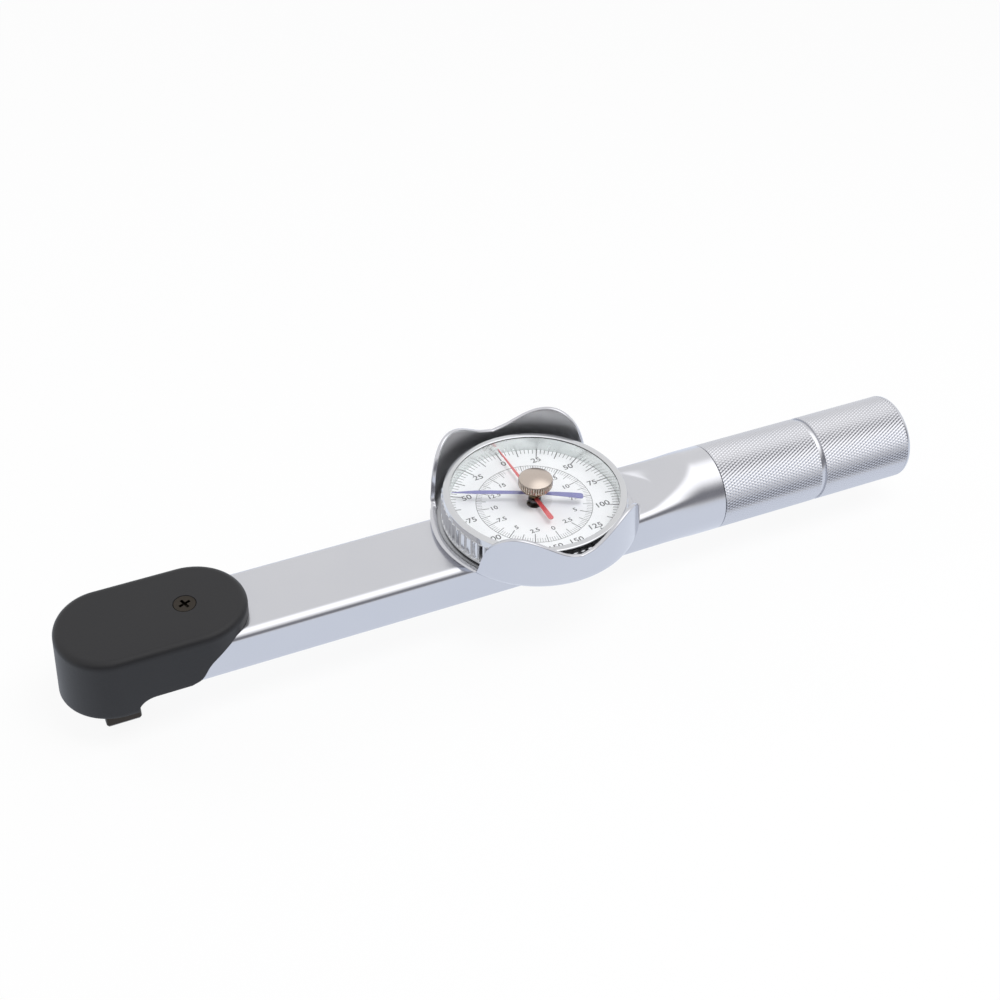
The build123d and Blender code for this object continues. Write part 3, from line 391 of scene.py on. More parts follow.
def moulded(name, colour, worn, roughness, grain=1500.0, bump=0.25, shine=0.5):
    """Moulded plastic or rubber: a pebbled bump and a slight drift of colour."""
    material, tree, shader = start_material(name)
    pebbled = place_group(tree, pebble_group, Vector=object_place(tree), Scale=grain)
    shade = mix_colour(tree, pebbled.outputs["Shade"], (*colour, 1), (*worn, 1))
    tree.links.new(shade, shader.inputs["Base Color"])
    shader.inputs["Roughness"].default_value = roughness
    shader.inputs["Specular IOR Level"].default_value = shine
    relief(tree, shader, pebbled.outputs["Height"], bump, 0.00004)
    return material


def enamel(name, colour, deep, roughness):
    """Paint on a thin plate: an even coat with a trace of orange peel."""
    material, tree, shader = start_material(name)
    peel = noise(tree, object_place(tree), 700.0, 2.0)
    shade = mix_colour(tree, peel, (*colour, 1), (*deep, 1))
    tree.links.new(shade, shader.inputs["Base Color"])
    shader.inputs["Roughness"].default_value = roughness
    relief(tree, shader, peel, 0.05, 0.00002)
    return material


def clear_crystal():
    """Clear acrylic that lets lamp light through to the dial."""
    material, tree, shader = start_material("clear_acrylic")
    shader.inputs["Base Color"].default_value = (0.97, 0.985, 0.99, 1)
    shader.inputs["Roughness"].default_value = 0.02
    shader.inputs["IOR"].default_value = 1.49
    shader.inputs["Transmission Weight"].default_value = 1.0
    clear = tree.nodes.new("ShaderNodeBsdfTransparent")
    path = tree.nodes.new("ShaderNodeLightPath")
    passing = maths(tree, "MAXIMUM", path.outputs["Is Shadow Ray"], path.outputs["Is Diffuse Ray"])
    show_instead(tree, mix_shaders(tree, passing, shader, clear))
    return material


# %% Finishes of the frame's own slots
PLATE = (0.588, 0.592, 0.625)
PLATE_SMUDGE = (0.606, 0.608, 0.638)
DRAWN, MILLED = (0.1, 1, 1), (0.2, 1, 1)

finishes = {
    "tube_chrome": metal("satin_plate", PLATE, PLATE_SMUDGE, 0.20, 0.06, 700, 0.03),
    "guard_chrome": metal("pressed_plate", PLATE, PLATE_SMUDGE, 0.15, 0.05, 500, 0.02),
    "bezel_chrome": metal("bright_plate", (0.64, 0.645, 0.66), (0.61, 0.62, 0.64), 0.14, 0.04, 900, 0.01),
    "black_cover": moulded(
        "black_moulding", (0.0105, 0.0105, 0.012), (0.014, 0.014, 0.0155), 0.44, shine=0.34
    ),
    "black_steel": metal(
        "blackened_steel", (0.038, 0.033, 0.027), (0.055, 0.047, 0.040), 0.36, 0.15, 900, 0.08
    ),
    "bright_steel": metal("turned_steel", (0.52, 0.52, 0.53), (0.47, 0.47, 0.49), 0.22, 0.10, 900, 0.05),
    "spring_steel": metal(
        "ground_steel", (0.38, 0.39, 0.43), (0.33, 0.34, 0.38), 0.30, 0.12, 900, 0.08, DRAWN
    ),
    "anchor_iron": metal(
        "milled_steel", (0.36, 0.36, 0.37), (0.31, 0.31, 0.33), 0.36, 0.12, 700, 0.10, MILLED
    ),
    "brass": metal("turned_brass", (0.42, 0.31, 0.16), (0.35, 0.25, 0.13), 0.28, 0.10, 900, 0.04),
    "seat_aluminium": metal(
        "turned_aluminium", (0.55, 0.56, 0.57), (0.50, 0.51, 0.53), 0.30, 0.10, 900, 0.05
    ),
    "gasket_rubber": moulded("black_rubber", (0.03, 0.03, 0.03), (0.04, 0.04, 0.04), 0.7, 900, 0.1),
    "dial_white": enamel("dial_enamel", (0.86, 0.86, 0.875), (0.84, 0.84, 0.86), 0.45),
    "crystal_clear": clear_crystal(),
    "red_hand": enamel("red_enamel", (0.66, 0.088, 0.098), (0.60, 0.07, 0.08), 0.36),
    "violet_hand": enamel("violet_enamel", (0.180, 0.180, 0.43), (0.16, 0.16, 0.39), 0.38),
    "knob_nickel": metal(
        "satin_nickel", (0.545, 0.475, 0.425), (0.52, 0.45, 0.395), 0.22, 0.06, 900, 0.004
    ),
}
print(len(finishes), "finishes for the frame's slots")

# %% Finishes that only one face or piece has
window_plate = metal("window_plate", (0.76, 0.785, 0.775), (0.73, 0.77, 0.76), 0.26, 0.04, 900, 0.0)
dull_plate = metal("dull_plate", (0.56, 0.565, 0.58), (0.62, 0.625, 0.64), 0.38, 0.06, 300, 0.02)
# A brass colour for the knob's bowl, also painted as shade into the gaps between its teeth.
brass_and_shade = metal("brass_and_shade", (0.23, 0.16, 0.095), (0.19, 0.13, 0.08), 0.30, 0.08, 900, 0.02)
hub_steel = metal("hub_steel", (0.075, 0.078, 0.082), (0.10, 0.10, 0.11), 0.30, 0.08, 900, 0.02)
ink = enamel("dial_ink", (0.035, 0.035, 0.04), (0.05, 0.05, 0.055), 0.5)

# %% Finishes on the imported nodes
for part in frame["record"]["subparts"]:
    body = nodes[part["node"]]
    body.data.materials.clear()
    body.data.materials.append(finishes[part["material_slot"]])
for shown_under_the_pointer in ("staff_bush", "pointer_staff"):
    nodes[shown_under_the_pointer].data.materials[0] = hub_steel
print(len(nodes), "packed nodes have their finish")

# %% [markdown]
# Every new piece is a stack of rings: closed loops of points that are joined to the next loop by quads.
# A turned part, a pressed cup and a formed tube are all such stacks, so one helper makes them all.
# Modelling each with its own modifier stack would work too, but the formula would be lost.

# %% Mesh helpers
def signed_volume(mesh):
    """Sum of the tetrahedra from the origin to each triangle: positive when faces point outwards."""
    mesh.calc_loop_triangles()
    co = np.zeros(len(mesh.vertices) * 3)
    mesh.vertices.foreach_get("co", co)
    co = co.reshape(-1, 3)
    corners = np.zeros(len(mesh.loop_triangles) * 3, np.int32)
    mesh.loop_triangles.foreach_get("vertices", corners)
    a, b, c = co[corners.reshape(-1, 3)].transpose(1, 0, 2)
    return float((a * np.cross(b, c)).sum() / 6)


def finish_mesh(name, points, faces, smooth=35.0):
    """Mesh and object at the origin, with outward normals.

    It is smooth but for edges sharper than an angle, or flat all over where smooth is None.
    """
    mesh = bpy.data.meshes.new(name)
    mesh.from_pydata((np.asarray(points) * MM).tolist(), [], faces)
    mesh.validate()
    mesh.update()
    if signed_volume(mesh) < 0:
        mesh.flip_normals()
    mesh.polygons.foreach_set("use_smooth", np.full(len(mesh.polygons), smooth is not None))
    if smooth is not None:
        mesh.set_sharp_from_angle(angle=math.radians(smooth))
    piece = bpy.data.objects.new(name, mesh)
    scene.collection.objects.link(piece)
    return piece


# %% Ring helpers
def from_rings(name, rings, close_stack=False, smooth=35.0, diamonds=False):
    """Mesh from an array (rings, points, xyz) in millimetres; open ends are capped flat.

    With diamonds, each quad is two triangles and the diagonal changes its way from one quad to the next.
    """
    count, around = rings.shape[:2]
    index = np.arange(count * around).reshape(count, around)
    upper = index if close_stack else index[:-1]
    lower = np.roll(index, -1, 0) if close_stack else index[1:]
    quads = np.stack([upper, np.roll(upper, -1, 1), np.roll(lower, -1, 1), lower], -1)
    if diamonds:
        odd = np.add.outer(np.arange(quads.shape[0]), np.arange(around)) % 2 == 1
        turned_quads = np.where(odd[..., None], np.roll(quads, -1, -1), quads)
        faces = turned_quads[..., [0, 1, 2, 0, 2, 3]].reshape(-1, 3).tolist()
    else:
        faces = quads.reshape(-1, 4).tolist()
    if not close_stack:
        faces.append(index[0][::-1].tolist())
        faces.append(index[-1].tolist())
    return finish_mesh(name, rings.reshape(-1, 3), faces, smooth)


def ring_angles(count):
    """Even angles once round, without the last one, which would be the first again."""
    return np.arange(count) * 2 * np.pi / count


def dial_rings(table, angle, depth=0.0, wave=1.0):
    """Rings about the dial's axis from rows of (radius, height, share of the depth).

    Each radius is drawn in by its row's share of the depth, times the wave at that angle.
    """
    radius = table[:, :1] - depth * table[:, 2:] * wave
    height = table[:, 1:2] + 0 * angle
    return np.stack([DIAL_X + radius * np.cos(angle), radius * np.sin(angle), height], -1)


def turned(name, profile, around=96, smooth=35.0):
    """A closed ring of (radius, height) pairs, turned about the dial's axis."""
    table = np.array([(radius, height, 0) for radius, height in profile])
    return from_rings(name, dial_rings(table, ring_angles(around)), True, smooth)


# %% Dressing helpers
def dress(piece, finish, body, *replaced):
    """Gives a new piece its finish and body, and hides the nodes it stands for."""
    piece.data.materials.append(finishes[finish])
    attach(piece, body)
    for node in replaced:
        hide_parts(node)
    print(f"{piece.name}: {len(piece.data.vertices)} points")
    return piece


def dress_in(piece, material, body):
    """Gives a piece a finish of its own and its body."""
    piece.data.materials.append(material)
    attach(piece, body)


def second_finish(piece, material, chosen):
    """Gives the chosen faces, a true or false value for each, another finish."""
    piece.data.materials.append(material)
    piece.data.polygons.foreach_set("material_index", chosen.astype(np.int32))


def bands_between(piece, first_ring, last_ring, around):
    """True for the faces between two rings of a stack; faces are stored ring by ring."""
    band = np.arange(len(piece.data.polygons)) // around
    return (band >= first_ring) & (band < last_ring)


# %% Smooth curve through points
def hermite(points, x):
    """Smooth curve through (x, y) points by cubic pieces with averaged slopes, evaluated at x."""
    px, py = np.array(points, float).T
    slope = np.gradient(py, px)
    i = np.clip(np.searchsorted(px, x) - 1, 0, len(px) - 2)
    span = px[i + 1] - px[i]
    t = np.clip((x - px[i]) / span, 0, 1)
    a = (1 + 2 * t) * (1 - t) ** 2 * py[i] + t * (1 - t) ** 2 * span * slope[i]
    b = t * t * (3 - 2 * t) * py[i + 1] + t * t * (t - 1) * span * slope[i + 1]
    return a + b


# %% [markdown]
# The tube is one piece of steel tube: pressed flat in front and left round for the hand.
# Where flat turns to round, the press leaves a curved crease, because the middle of the flat face reaches
# further back than its edges do.
# A loft between two outlines gives a straight crease, so here each point of the section starts its change
# at its own place along the tube.

# %% Formed tube
TUBE_HALF_W = 12.55
TUBE_EDGE_R = 2.8
TUBE_WALL = 1.5
TUBE_FRONT_X = 12.0
CREASE_EDGE_X, CREASE_MIDDLE_X = 147.0, 161.0
CREASE_BLUNT = 0.45
ROUND_X = 172.0
SINE_SHARE = 0.62
END_ROUNDING = 1.4
GROOVE_X, GROOVE_W, GROOVE_DEPTH = 212.6, 1.7, 0.4
GROOVE_FRONT, GROOVE_REAR = GROOVE_X - GROOVE_W / 2, GROOVE_X + GROOVE_W / 2
GROOVE_CHAMFER = 0.15
KNURL_START = 178.7
KNURL_SEAT = 0.5
FRONT_RINGS, CREASE_RINGS = 40, 90
FLAT_STEPS, SIDE_STEPS, CORNER_STEPS = 30, 12, 7
SIDE_ANGLE, CORNER_ANGLE = 23.0, 16.0


def section_points(inset):
    """The pressed section and the circle, point for point, both shrunk by inset.

    Half of the section is a side, a corner's quarter circle, the flat face and the next corner; the other
    half is the same, turned half round. The circle's angles are shared out among the same stretches.
    """
    w, h = TUBE_HALF_W - inset, TUBE_HALF_H - inset
    r = max(TUBE_EDGE_R - inset, 0.6)
    circle = HANDLE_R - inset
    side = np.linspace(-1, 1, SIDE_STEPS, endpoint=False)
    turn = np.linspace(0, np.pi / 2, CORNER_STEPS, endpoint=False)
    flat = np.linspace(1, -1, FLAT_STEPS, endpoint=False)
    half = [
        np.stack([np.full_like(side, w), side * (h - r)], -1),
        np.stack([w - r + r * np.cos(turn), h - r + r * np.sin(turn)], -1),
        np.stack([flat * (w - r), np.full_like(flat, h)], -1),
        np.stack([-(w - r) - r * np.sin(turn), h - r + r * np.cos(turn)], -1),
    ]
    angles = np.concatenate([
        side * SIDE_ANGLE,
        SIDE_ANGLE + turn / (np.pi / 2) * CORNER_ANGLE,
        90 - flat * (90 - SIDE_ANGLE - CORNER_ANGLE),
        180 - SIDE_ANGLE - CORNER_ANGLE + turn / (np.pi / 2) * CORNER_ANGLE,
    ])
    angles = np.radians(np.concatenate([angles, angles + 180]))
    pressed = np.concatenate(half + [-part for part in half])
    rounded = circle * np.stack([np.cos(angles), np.sin(angles)], -1)
    return pressed, rounded


def tube_ring(x, inset):
    """One ring of the tube: each point blends from the pressed section to the circle from its own start.

    The start follows a blunt hyperbola across the face, latest in its middle. The share of the circle is
    part of a quarter sine and part of a smooth step of the way from that start to the round stretch.
    """
    pressed, rounded = section_points(inset)
    across = np.clip(np.abs(pressed[:, 0]) / TUBE_HALF_W, 0, 1)
    bow = (np.hypot(across, CREASE_BLUNT) - CREASE_BLUNT) / (math.hypot(1, CREASE_BLUNT) - CREASE_BLUNT)
    start = CREASE_EDGE_X + (CREASE_MIDDLE_X - CREASE_EDGE_X) * (1 - bow)
    t = np.clip((x - start) / (ROUND_X - start), 0, 1)
    share = (SINE_SHARE * np.sin(t * np.pi / 2) + (1 - SINE_SHARE) * t * t * (3 - 2 * t))[:, None]
    yz = pressed * (1 - share) + rounded * share
    return np.column_stack([np.full(len(yz), x), yz[:, 0], yz[:, 1] + AXIS_Z])


def tube_stations():
    """(x, inset) down the outside from the front, over the rounded end and back up the bore."""
    plain_end = HANDLE_END - END_ROUNDING
    outside = [(x, 0.0) for x in np.linspace(TUBE_FRONT_X, CREASE_EDGE_X - 3, FRONT_RINGS)]
    outside += [(x, 0.0) for x in np.linspace(CREASE_EDGE_X - 2, ROUND_X + 1, CREASE_RINGS)]
    outside += [(KNURL_START - 0.3, 0.0), (KNURL_START, KNURL_SEAT)]
    outside += [(GROOVE_FRONT - GROOVE_CHAMFER, KNURL_SEAT), (GROOVE_FRONT, GROOVE_DEPTH)]
    outside += [(GROOVE_REAR, GROOVE_DEPTH), (GROOVE_REAR + GROOVE_CHAMFER, KNURL_SEAT)]
    outside += [(plain_end - 0.1, KNURL_SEAT), (plain_end, 0.0)]
    for a in np.linspace(0, np.pi / 2, 8)[1:]:
        outside.append((HANDLE_END - END_ROUNDING * (1 - math.sin(a)), END_ROUNDING * (1 - math.cos(a))))
    bore = (HANDLE_END - 0.1, ROUND_X + 1, CREASE_MIDDLE_X, CREASE_EDGE_X, TUBE_FRONT_X)
    return outside + [(x, TUBE_WALL) for x in bore]


def formed_tube():
    """All the tube's rings, joined into one closed wall."""
    rings = np.stack([tube_ring(x, inset) for x, inset in tube_stations()])
    return from_rings("formed_tube", rings, close_stack=True, smooth=40)


dress(formed_tube(), "tube_chrome", "housing", "housing_tube")

# %% [markdown]
# The front end of the tube, round the drive, is hidden by the cover except from below.
# It could be modelled again, with its bore and its slots, but the frame already has that shape.
# So a copy of the frame's node is merged and cut off behind the bushes.

# %% Tube nose
import bmesh


def cut_copy(name, node, x_cut):
    """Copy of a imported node, merged, with everything behind x_cut taken off and the cut closed."""
    mesh = nodes[node].data.copy()
    cut = bmesh.new()
    cut.from_mesh(mesh)
    bmesh.ops.remove_doubles(cut, verts=cut.verts, dist=1e-6)
    everything = cut.verts[:] + cut.edges[:] + cut.faces[:]
    found = bmesh.ops.bisect_plane(
        cut, geom=everything, plane_co=(x_cut * MM, 0, 0), plane_no=(1, 0, 0), clear_outer=True
    )
    rim = [e for e in found["geom_cut"] if isinstance(e, bmesh.types.BMEdge)]
    bmesh.ops.triangle_fill(cut, edges=rim, use_beauty=True)
    bmesh.ops.recalc_face_normals(cut, faces=cut.faces)
    cut.to_mesh(mesh)
    cut.free()
    mesh.materials.clear()
    piece = bpy.data.objects.new(name, mesh)
    scene.collection.objects.link(piece)
    return piece


dress(cut_copy("tube_nose", "housing_tube", TUBE_FRONT_X), "tube_chrome", "housing")

# %% [markdown]
# A diamond knurl is rolled: two sets of grooves cross and leave small pyramids.
# Its height is the lower of two triangle waves that run round the handle in opposite screws.
# The grid's points lie on the crests and in the crossings, so the pyramids stay sharp without a dense mesh.

# %% Knurl
KNURL_COUNT = 84
KNURL_DEPTH = 0.20
KNURL_CREST = 0.02
KNURL_LENGTH = 1.876
CROSS_SHARE = 0.40
QUARTERS = 4
SLEEVE_CORE_R = HANDLE_R - KNURL_SEAT - 0.4


def triangle_wave(phase):
    """0 in the groove, 1 on the crest, once per unit of phase."""
    return 1 - np.abs(2 * (phase - np.floor(phase)) - 1)


def handle_circle(x, radius, angle):
    """A circle round the tube's axis at x; the three may be arrays."""
    return np.stack([x + 0 * radius * angle, radius * np.cos(angle), AXIS_Z + radius * np.sin(angle)], -1)


def knurl_band(name, x0, x1):
    """Sleeve whose outer face is the lower of two crossing screw waves, the second cut less deep."""
    rows = int(round((x1 - x0) / (KNURL_LENGTH / QUARTERS)))
    x = np.linspace(x0, x1, rows + 1)
    a = ring_angles(KNURL_COUNT * QUARTERS)
    turns = a / (2 * np.pi) * KNURL_COUNT
    along = np.arange(rows + 1) / QUARTERS
    first = triangle_wave(turns[None, :] + along[:, None])
    second = 1 - CROSS_SHARE * (1 - triangle_wave(turns[None, :] - along[:, None]))
    radius = HANDLE_R + KNURL_CREST - KNURL_DEPTH * (1 - np.minimum(first, second))
    outer = handle_circle(x[:, None], radius, a)
    ends = np.stack([handle_circle(end, SLEEVE_CORE_R, a) for end in (x1, x0)])
    rings = np.concatenate([outer, ends])
    return from_rings(name, rings, close_stack=True, smooth=None, diamonds=True)


dress(knurl_band("knurl_front", KNURL_START, GROOVE_FRONT), "tube_chrome", "housing")
dress(knurl_band("knurl_rear", GROOVE_REAR, HANDLE_END - END_ROUNDING), "tube_chrome", "housing")

# %% [markdown]
# The head cover is a moulded cap with a long round outline and a rounded top edge.
# Its side walls draw in a little towards the rim, and the wall of its nose flares out instead.
# Seen from the side the rim steps up behind the drive and then sweeps up to the tube's top face.
# A box with a bevel could stand for it, but its rim has a height for each point along the tool, so the
# wall is a stack of rings that ends on that curve.

# %% Head cover: sizes and outline
COVER_HALF_W = (cover_high[1] - cover_low[1]) / 2
COVER_REAR_X = cover_high[0]
COVER_TOP = cover_high[2]
COVER_RIM = cover_low[2]
COVER_EDGE_R = 2.0
COVER_DRAFT = math.tan(math.radians(1.0))
NOSE_DRAFT = math.tan(math.radians(-3.2))
NOSE_DRAWN_IN = 1.3
COVER_WALL = 2.0
COVER_CEILING = TUBE_TOP + 0.35
screw_low, screw_high = node_box("cover_screw")
SCREW_X = (screw_high[0] + screw_low[0]) / 2
SCREW_R = 3.05
SCREW_RIM_R = SCREW_R + 0.1
STEP_X, STEP_W, SKIRT_Z = 3.0, 5.0, AXIS_Z - 4.2
SWEEP = [(17.5, -4.2), (20.6, -2.6), (22.8, 0.9), (26.0, 3.6), (31.5, 6.8)]


def cover_outline(inset):
    """Long round outline, shrunk by inset: nose cap, straight side, rear cap, straight side."""
    r = COVER_HALF_W - inset
    rear = COVER_REAR_X - COVER_HALF_W
    cap = np.linspace(0, np.pi, 60, endpoint=False)
    straight = np.linspace(0, 1, 110, endpoint=False)
    nose_cap = np.stack([-(r - NOSE_DRAWN_IN) * np.sin(cap), r * np.cos(cap)], -1)
    near = np.stack([rear * straight, np.full_like(straight, -r)], -1)
    rear_cap = np.stack([rear + r * np.sin(cap), -r * np.cos(cap)], -1)
    far = np.stack([rear * (1 - straight), np.full_like(straight, r)], -1)
    return np.concatenate([nose_cap, near, rear_cap, far])


def cover_rim(x):
    """Height of the rim at x: boss, quarter-round step, shallow skirt, sweep up to the tube."""
    step = np.clip((STEP_X + STEP_W - x) / STEP_W, 0, 1)
    low = COVER_RIM + (SKIRT_Z - COVER_RIM) * np.sqrt(1 - step ** 2)
    sweep = AXIS_Z + hermite(SWEEP, np.clip(x, SWEEP[0][0], SWEEP[-1][0]))
    return np.where(x < SWEEP[0][0], low, np.minimum(sweep, TUBE_TOP + 0.02))


# %% Head cover: rings and shell
def cover_ring(inset, height):
    """A level ring of the cover's outline, shrunk by inset."""
    xy = cover_outline(inset)
    return np.column_stack([xy, np.broadcast_to(height, len(xy))])


def leaning_ring(inset, height):
    """A ring of the wall; each point has its own height and moves in by its depth times the slope there.

    The slope goes from the side's to the nose's with the square of how far the wall faces forwards.
    """
    plain = cover_outline(inset)
    centre_x = np.clip(plain[:, 0], 0, COVER_REAR_X - COVER_HALF_W)
    out = plain - np.column_stack([centre_x, 0 * centre_x])
    out /= np.linalg.norm(out, axis=1)[:, None]
    towards_nose = np.clip(-out[:, 0], 0, 1) ** 2
    depth = COVER_TOP - COVER_EDGE_R - height
    lean = depth * (COVER_DRAFT + (NOSE_DRAFT - COVER_DRAFT) * towards_nose)
    return np.column_stack([plain - out * lean[:, None], height])


def screw_ring(angle, radius, height):
    """A circle about the cover's screw, with its points at the given angles."""
    x, y = SCREW_X + radius * np.cos(angle), radius * np.sin(angle)
    return np.column_stack([x, y, np.full_like(angle, height)])


def head_cover():
    """Rings from the screw's hole over the top and edge, down the wall to the rim and back up inside."""
    base = cover_outline(0)
    rim = cover_rim(base[:, 0])
    angle = np.arctan2(base[:, 1], base[:, 0] - SCREW_X)
    flat_edge = cover_ring(COVER_EDGE_R, COVER_TOP)
    hole_edge = screw_ring(angle, SCREW_RIM_R, COVER_TOP)
    rings = [
        screw_ring(angle, 1.6, COVER_CEILING),
        screw_ring(angle, SCREW_R - 0.25, COVER_TOP - 1.3),
        screw_ring(angle, SCREW_R, COVER_TOP - 0.12),
        hole_edge,
    ]
    for t in (0.25, 0.5, 0.75, 0.97):
        rings.append(hole_edge * (1 - t) + flat_edge * t)
    for a in np.linspace(0, np.pi / 2, 9):
        inset = COVER_EDGE_R * (1 - math.sin(a))
        rings.append(cover_ring(inset, COVER_TOP - COVER_EDGE_R * (1 - math.cos(a))))
    start = COVER_TOP - COVER_EDGE_R
    for t in np.linspace(0, 1, 24)[1:]:
        rings.append(leaning_ring(0, start + (rim + 0.3 - start) * t))
    rings += [
        leaning_ring(0.08, rim + 0.09),
        leaning_ring(0.3, rim),
        leaning_ring(COVER_WALL - 0.3, rim),
        leaning_ring(COVER_WALL, np.minimum(rim + 0.25, COVER_CEILING - 0.02)),
        cover_ring(COVER_WALL + 0.1, COVER_CEILING),
    ]
    return from_rings("cover_shell", np.stack(rings), close_stack=True, smooth=40)


dress(head_cover(), "black_cover", "housing", "head_cover")

# %% [markdown]
# The guard is pressed from sheet: a cup whose wall was trimmed to a wave, so that the peaks shield the
# knob and the valleys leave the numbers in view.
# A cup cut by a boolean would have a ragged row of faces along the wave.
# Here each point round the cup has its own height of wall, and the profile is shared out along its own
# length, so that every ring follows the wave.

# %% Dial guard: sizes and wave
GUARD_R = (guard_high[1] - guard_low[1]) / 2
GUARD_T = 1.2
GUARD_CORNER = 3.0
GUARD_HOLE_R = 6.0
GUARD_FLAT_R = GUARD_R - GUARD_CORNER - 4
GUARD_BEAD = 0.25
GUARD_STEPS = 26
WALL_END_ANGLE = 58
WAVE = [
    (0.0, 17.5), (8.0, 18.7), (14.0, 20.4), (20.0, 22.2), (26.0, 23.6), (32.0, 24.3), (39.0, 23.9),
    (45.0, 22.1), (49.0, 20.0), (52.0, 17.4), (54.0, 14.6), (55.6, 11.2), (57.0, 9.2), (59.5, 8.5),
    (64.0, 8.42), (90.0, 8.4),
]


def wave_top(angle):
    """Height of the wall's edge by angle from the side of the dial, the same on both sides."""
    from_side = np.degrees(np.arccos(np.clip(np.abs(np.sin(angle)), 0, 1)))
    return AXIS_Z + hermite(WAVE, from_side)


def guard_angles():
    """Even steps, with more of them where the wall's ends fall steeply."""
    coarse = np.linspace(0, 2 * np.pi, 361)[:-1]
    wall_ends = [side + way * WALL_END_ANGLE for side in (90, 270) for way in (-1, 1)]
    fine = np.radians(np.concatenate([end + np.linspace(-7, 7, 57) for end in wall_ends]))
    return np.unique(np.round(np.concatenate([coarse, fine]), 5))


# %% Dial guard: profile and cup
def cup_profile(radius, corner, floor, top, share):
    """Point at a share of the way from the floor's edge, round the corner and up to the wall's top."""
    full = corner * np.pi / 2
    cut = np.arccos(np.clip((floor + corner - np.minimum(top, floor + corner)) / corner, -1, 1))
    length = corner * cut + np.maximum(top - floor - corner, 0)
    s = share * length
    turn = np.minimum(s, full) / corner
    r = radius - corner + corner * np.sin(turn)
    z = floor + corner * (1 - np.cos(turn)) + np.maximum(s - full, 0)
    return r, z


def guard_ring(angle, radius, height):
    """A ring about the dial's axis; radius and height may differ from point to point."""
    x, y = DIAL_X + radius * np.cos(angle), radius * np.sin(angle)
    return np.column_stack([x, y, np.broadcast_to(height, len(angle))])


def dial_guard():
    """Rings out under the floor, up the outside, over a bead, down the inside and back to the hole."""
    a = guard_angles()
    wall_top = wave_top(a) - GUARD_BEAD
    outer = (GUARD_R, GUARD_CORNER, TUBE_TOP, wall_top)
    inner = (GUARD_R - GUARD_T, GUARD_CORNER - GUARD_T, TUBE_TOP + GUARD_T, wall_top)
    rings = [guard_ring(a, GUARD_HOLE_R, TUBE_TOP), guard_ring(a, GUARD_FLAT_R, TUBE_TOP)]
    for share in np.linspace(0, 1, GUARD_STEPS):
        rings.append(guard_ring(a, *cup_profile(*outer, share)))
    r_out, r_in = cup_profile(*outer, 1.0)[0], cup_profile(*inner, 1.0)[0]
    middle, half = (r_out + r_in) / 2, (r_out - r_in) / 2
    for t in np.linspace(0, np.pi, 7)[1:-1]:
        rings.append(guard_ring(a, middle + half * math.cos(t), wall_top + GUARD_BEAD * math.sin(t)))
    first_inside = len(rings)
    for share in np.linspace(1, 0, GUARD_STEPS):
        rings.append(guard_ring(a, *cup_profile(*inner, share)))
    rings.append(guard_ring(a, GUARD_FLAT_R, TUBE_TOP + GUARD_T))
    rings.append(guard_ring(a, GUARD_HOLE_R, TUBE_TOP + GUARD_T))
    guard = from_rings("wave_guard", np.stack(rings), close_stack=True, smooth=50)
    return guard, bands_between(guard, first_inside, len(rings) - 1, len(a))


guard_piece, guard_inside = dial_guard()
dress(guard_piece, "guard_chrome", "housing", "dial_guard")
second_finish(guard_piece, dull_plate, guard_inside)

# %% [markdown]
# The bezel turns by hand to set the dial's zero, so its skirt is fluted and its rim is polished.
# The flutes are milled: each is a round-bottomed groove that runs out under the rim.
# Seventy-two cutters and a boolean would cut them too, but one formula that draws the radius in gives the
# same form and leaves a clean stack of rings.

# %% Bezel
BEZEL_R = (bezel_high[1] - bezel_low[1]) / 2
BEZEL_BOTTOM = bezel_low[2]
BEZEL_TOP = bezel_high[2]
crystal_low, crystal_high = node_box("crystal")
CRYSTAL_BOTTOM, CRYSTAL_TOP = crystal_low[2], crystal_high[2]
WINDOW_R = 23.9
SKIRT_R = 23.8
LEDGE_R = 22.0
LEDGE_BOTTOM, LEDGE_TOP = AXIS_Z + 11.3, AXIS_Z + 11.6
FLUTES = 72
FLUTE_DEPTH = 0.75
FLUTE_SHARE = 0.84
FLUTE_SAMPLES = 10
FLUTE_TOP = AXIS_Z + 15.2
RIM_STEP = 0.45


def flute(angle):
    """Depth share of the flutes by angle: round-bottomed grooves with narrow lands between them."""
    phase = angle / (2 * np.pi) * FLUTES
    across = np.abs(2 * (phase - np.floor(phase)) - 1) / FLUTE_SHARE
    return np.sqrt(np.clip(1 - across ** 2, 0, 1))


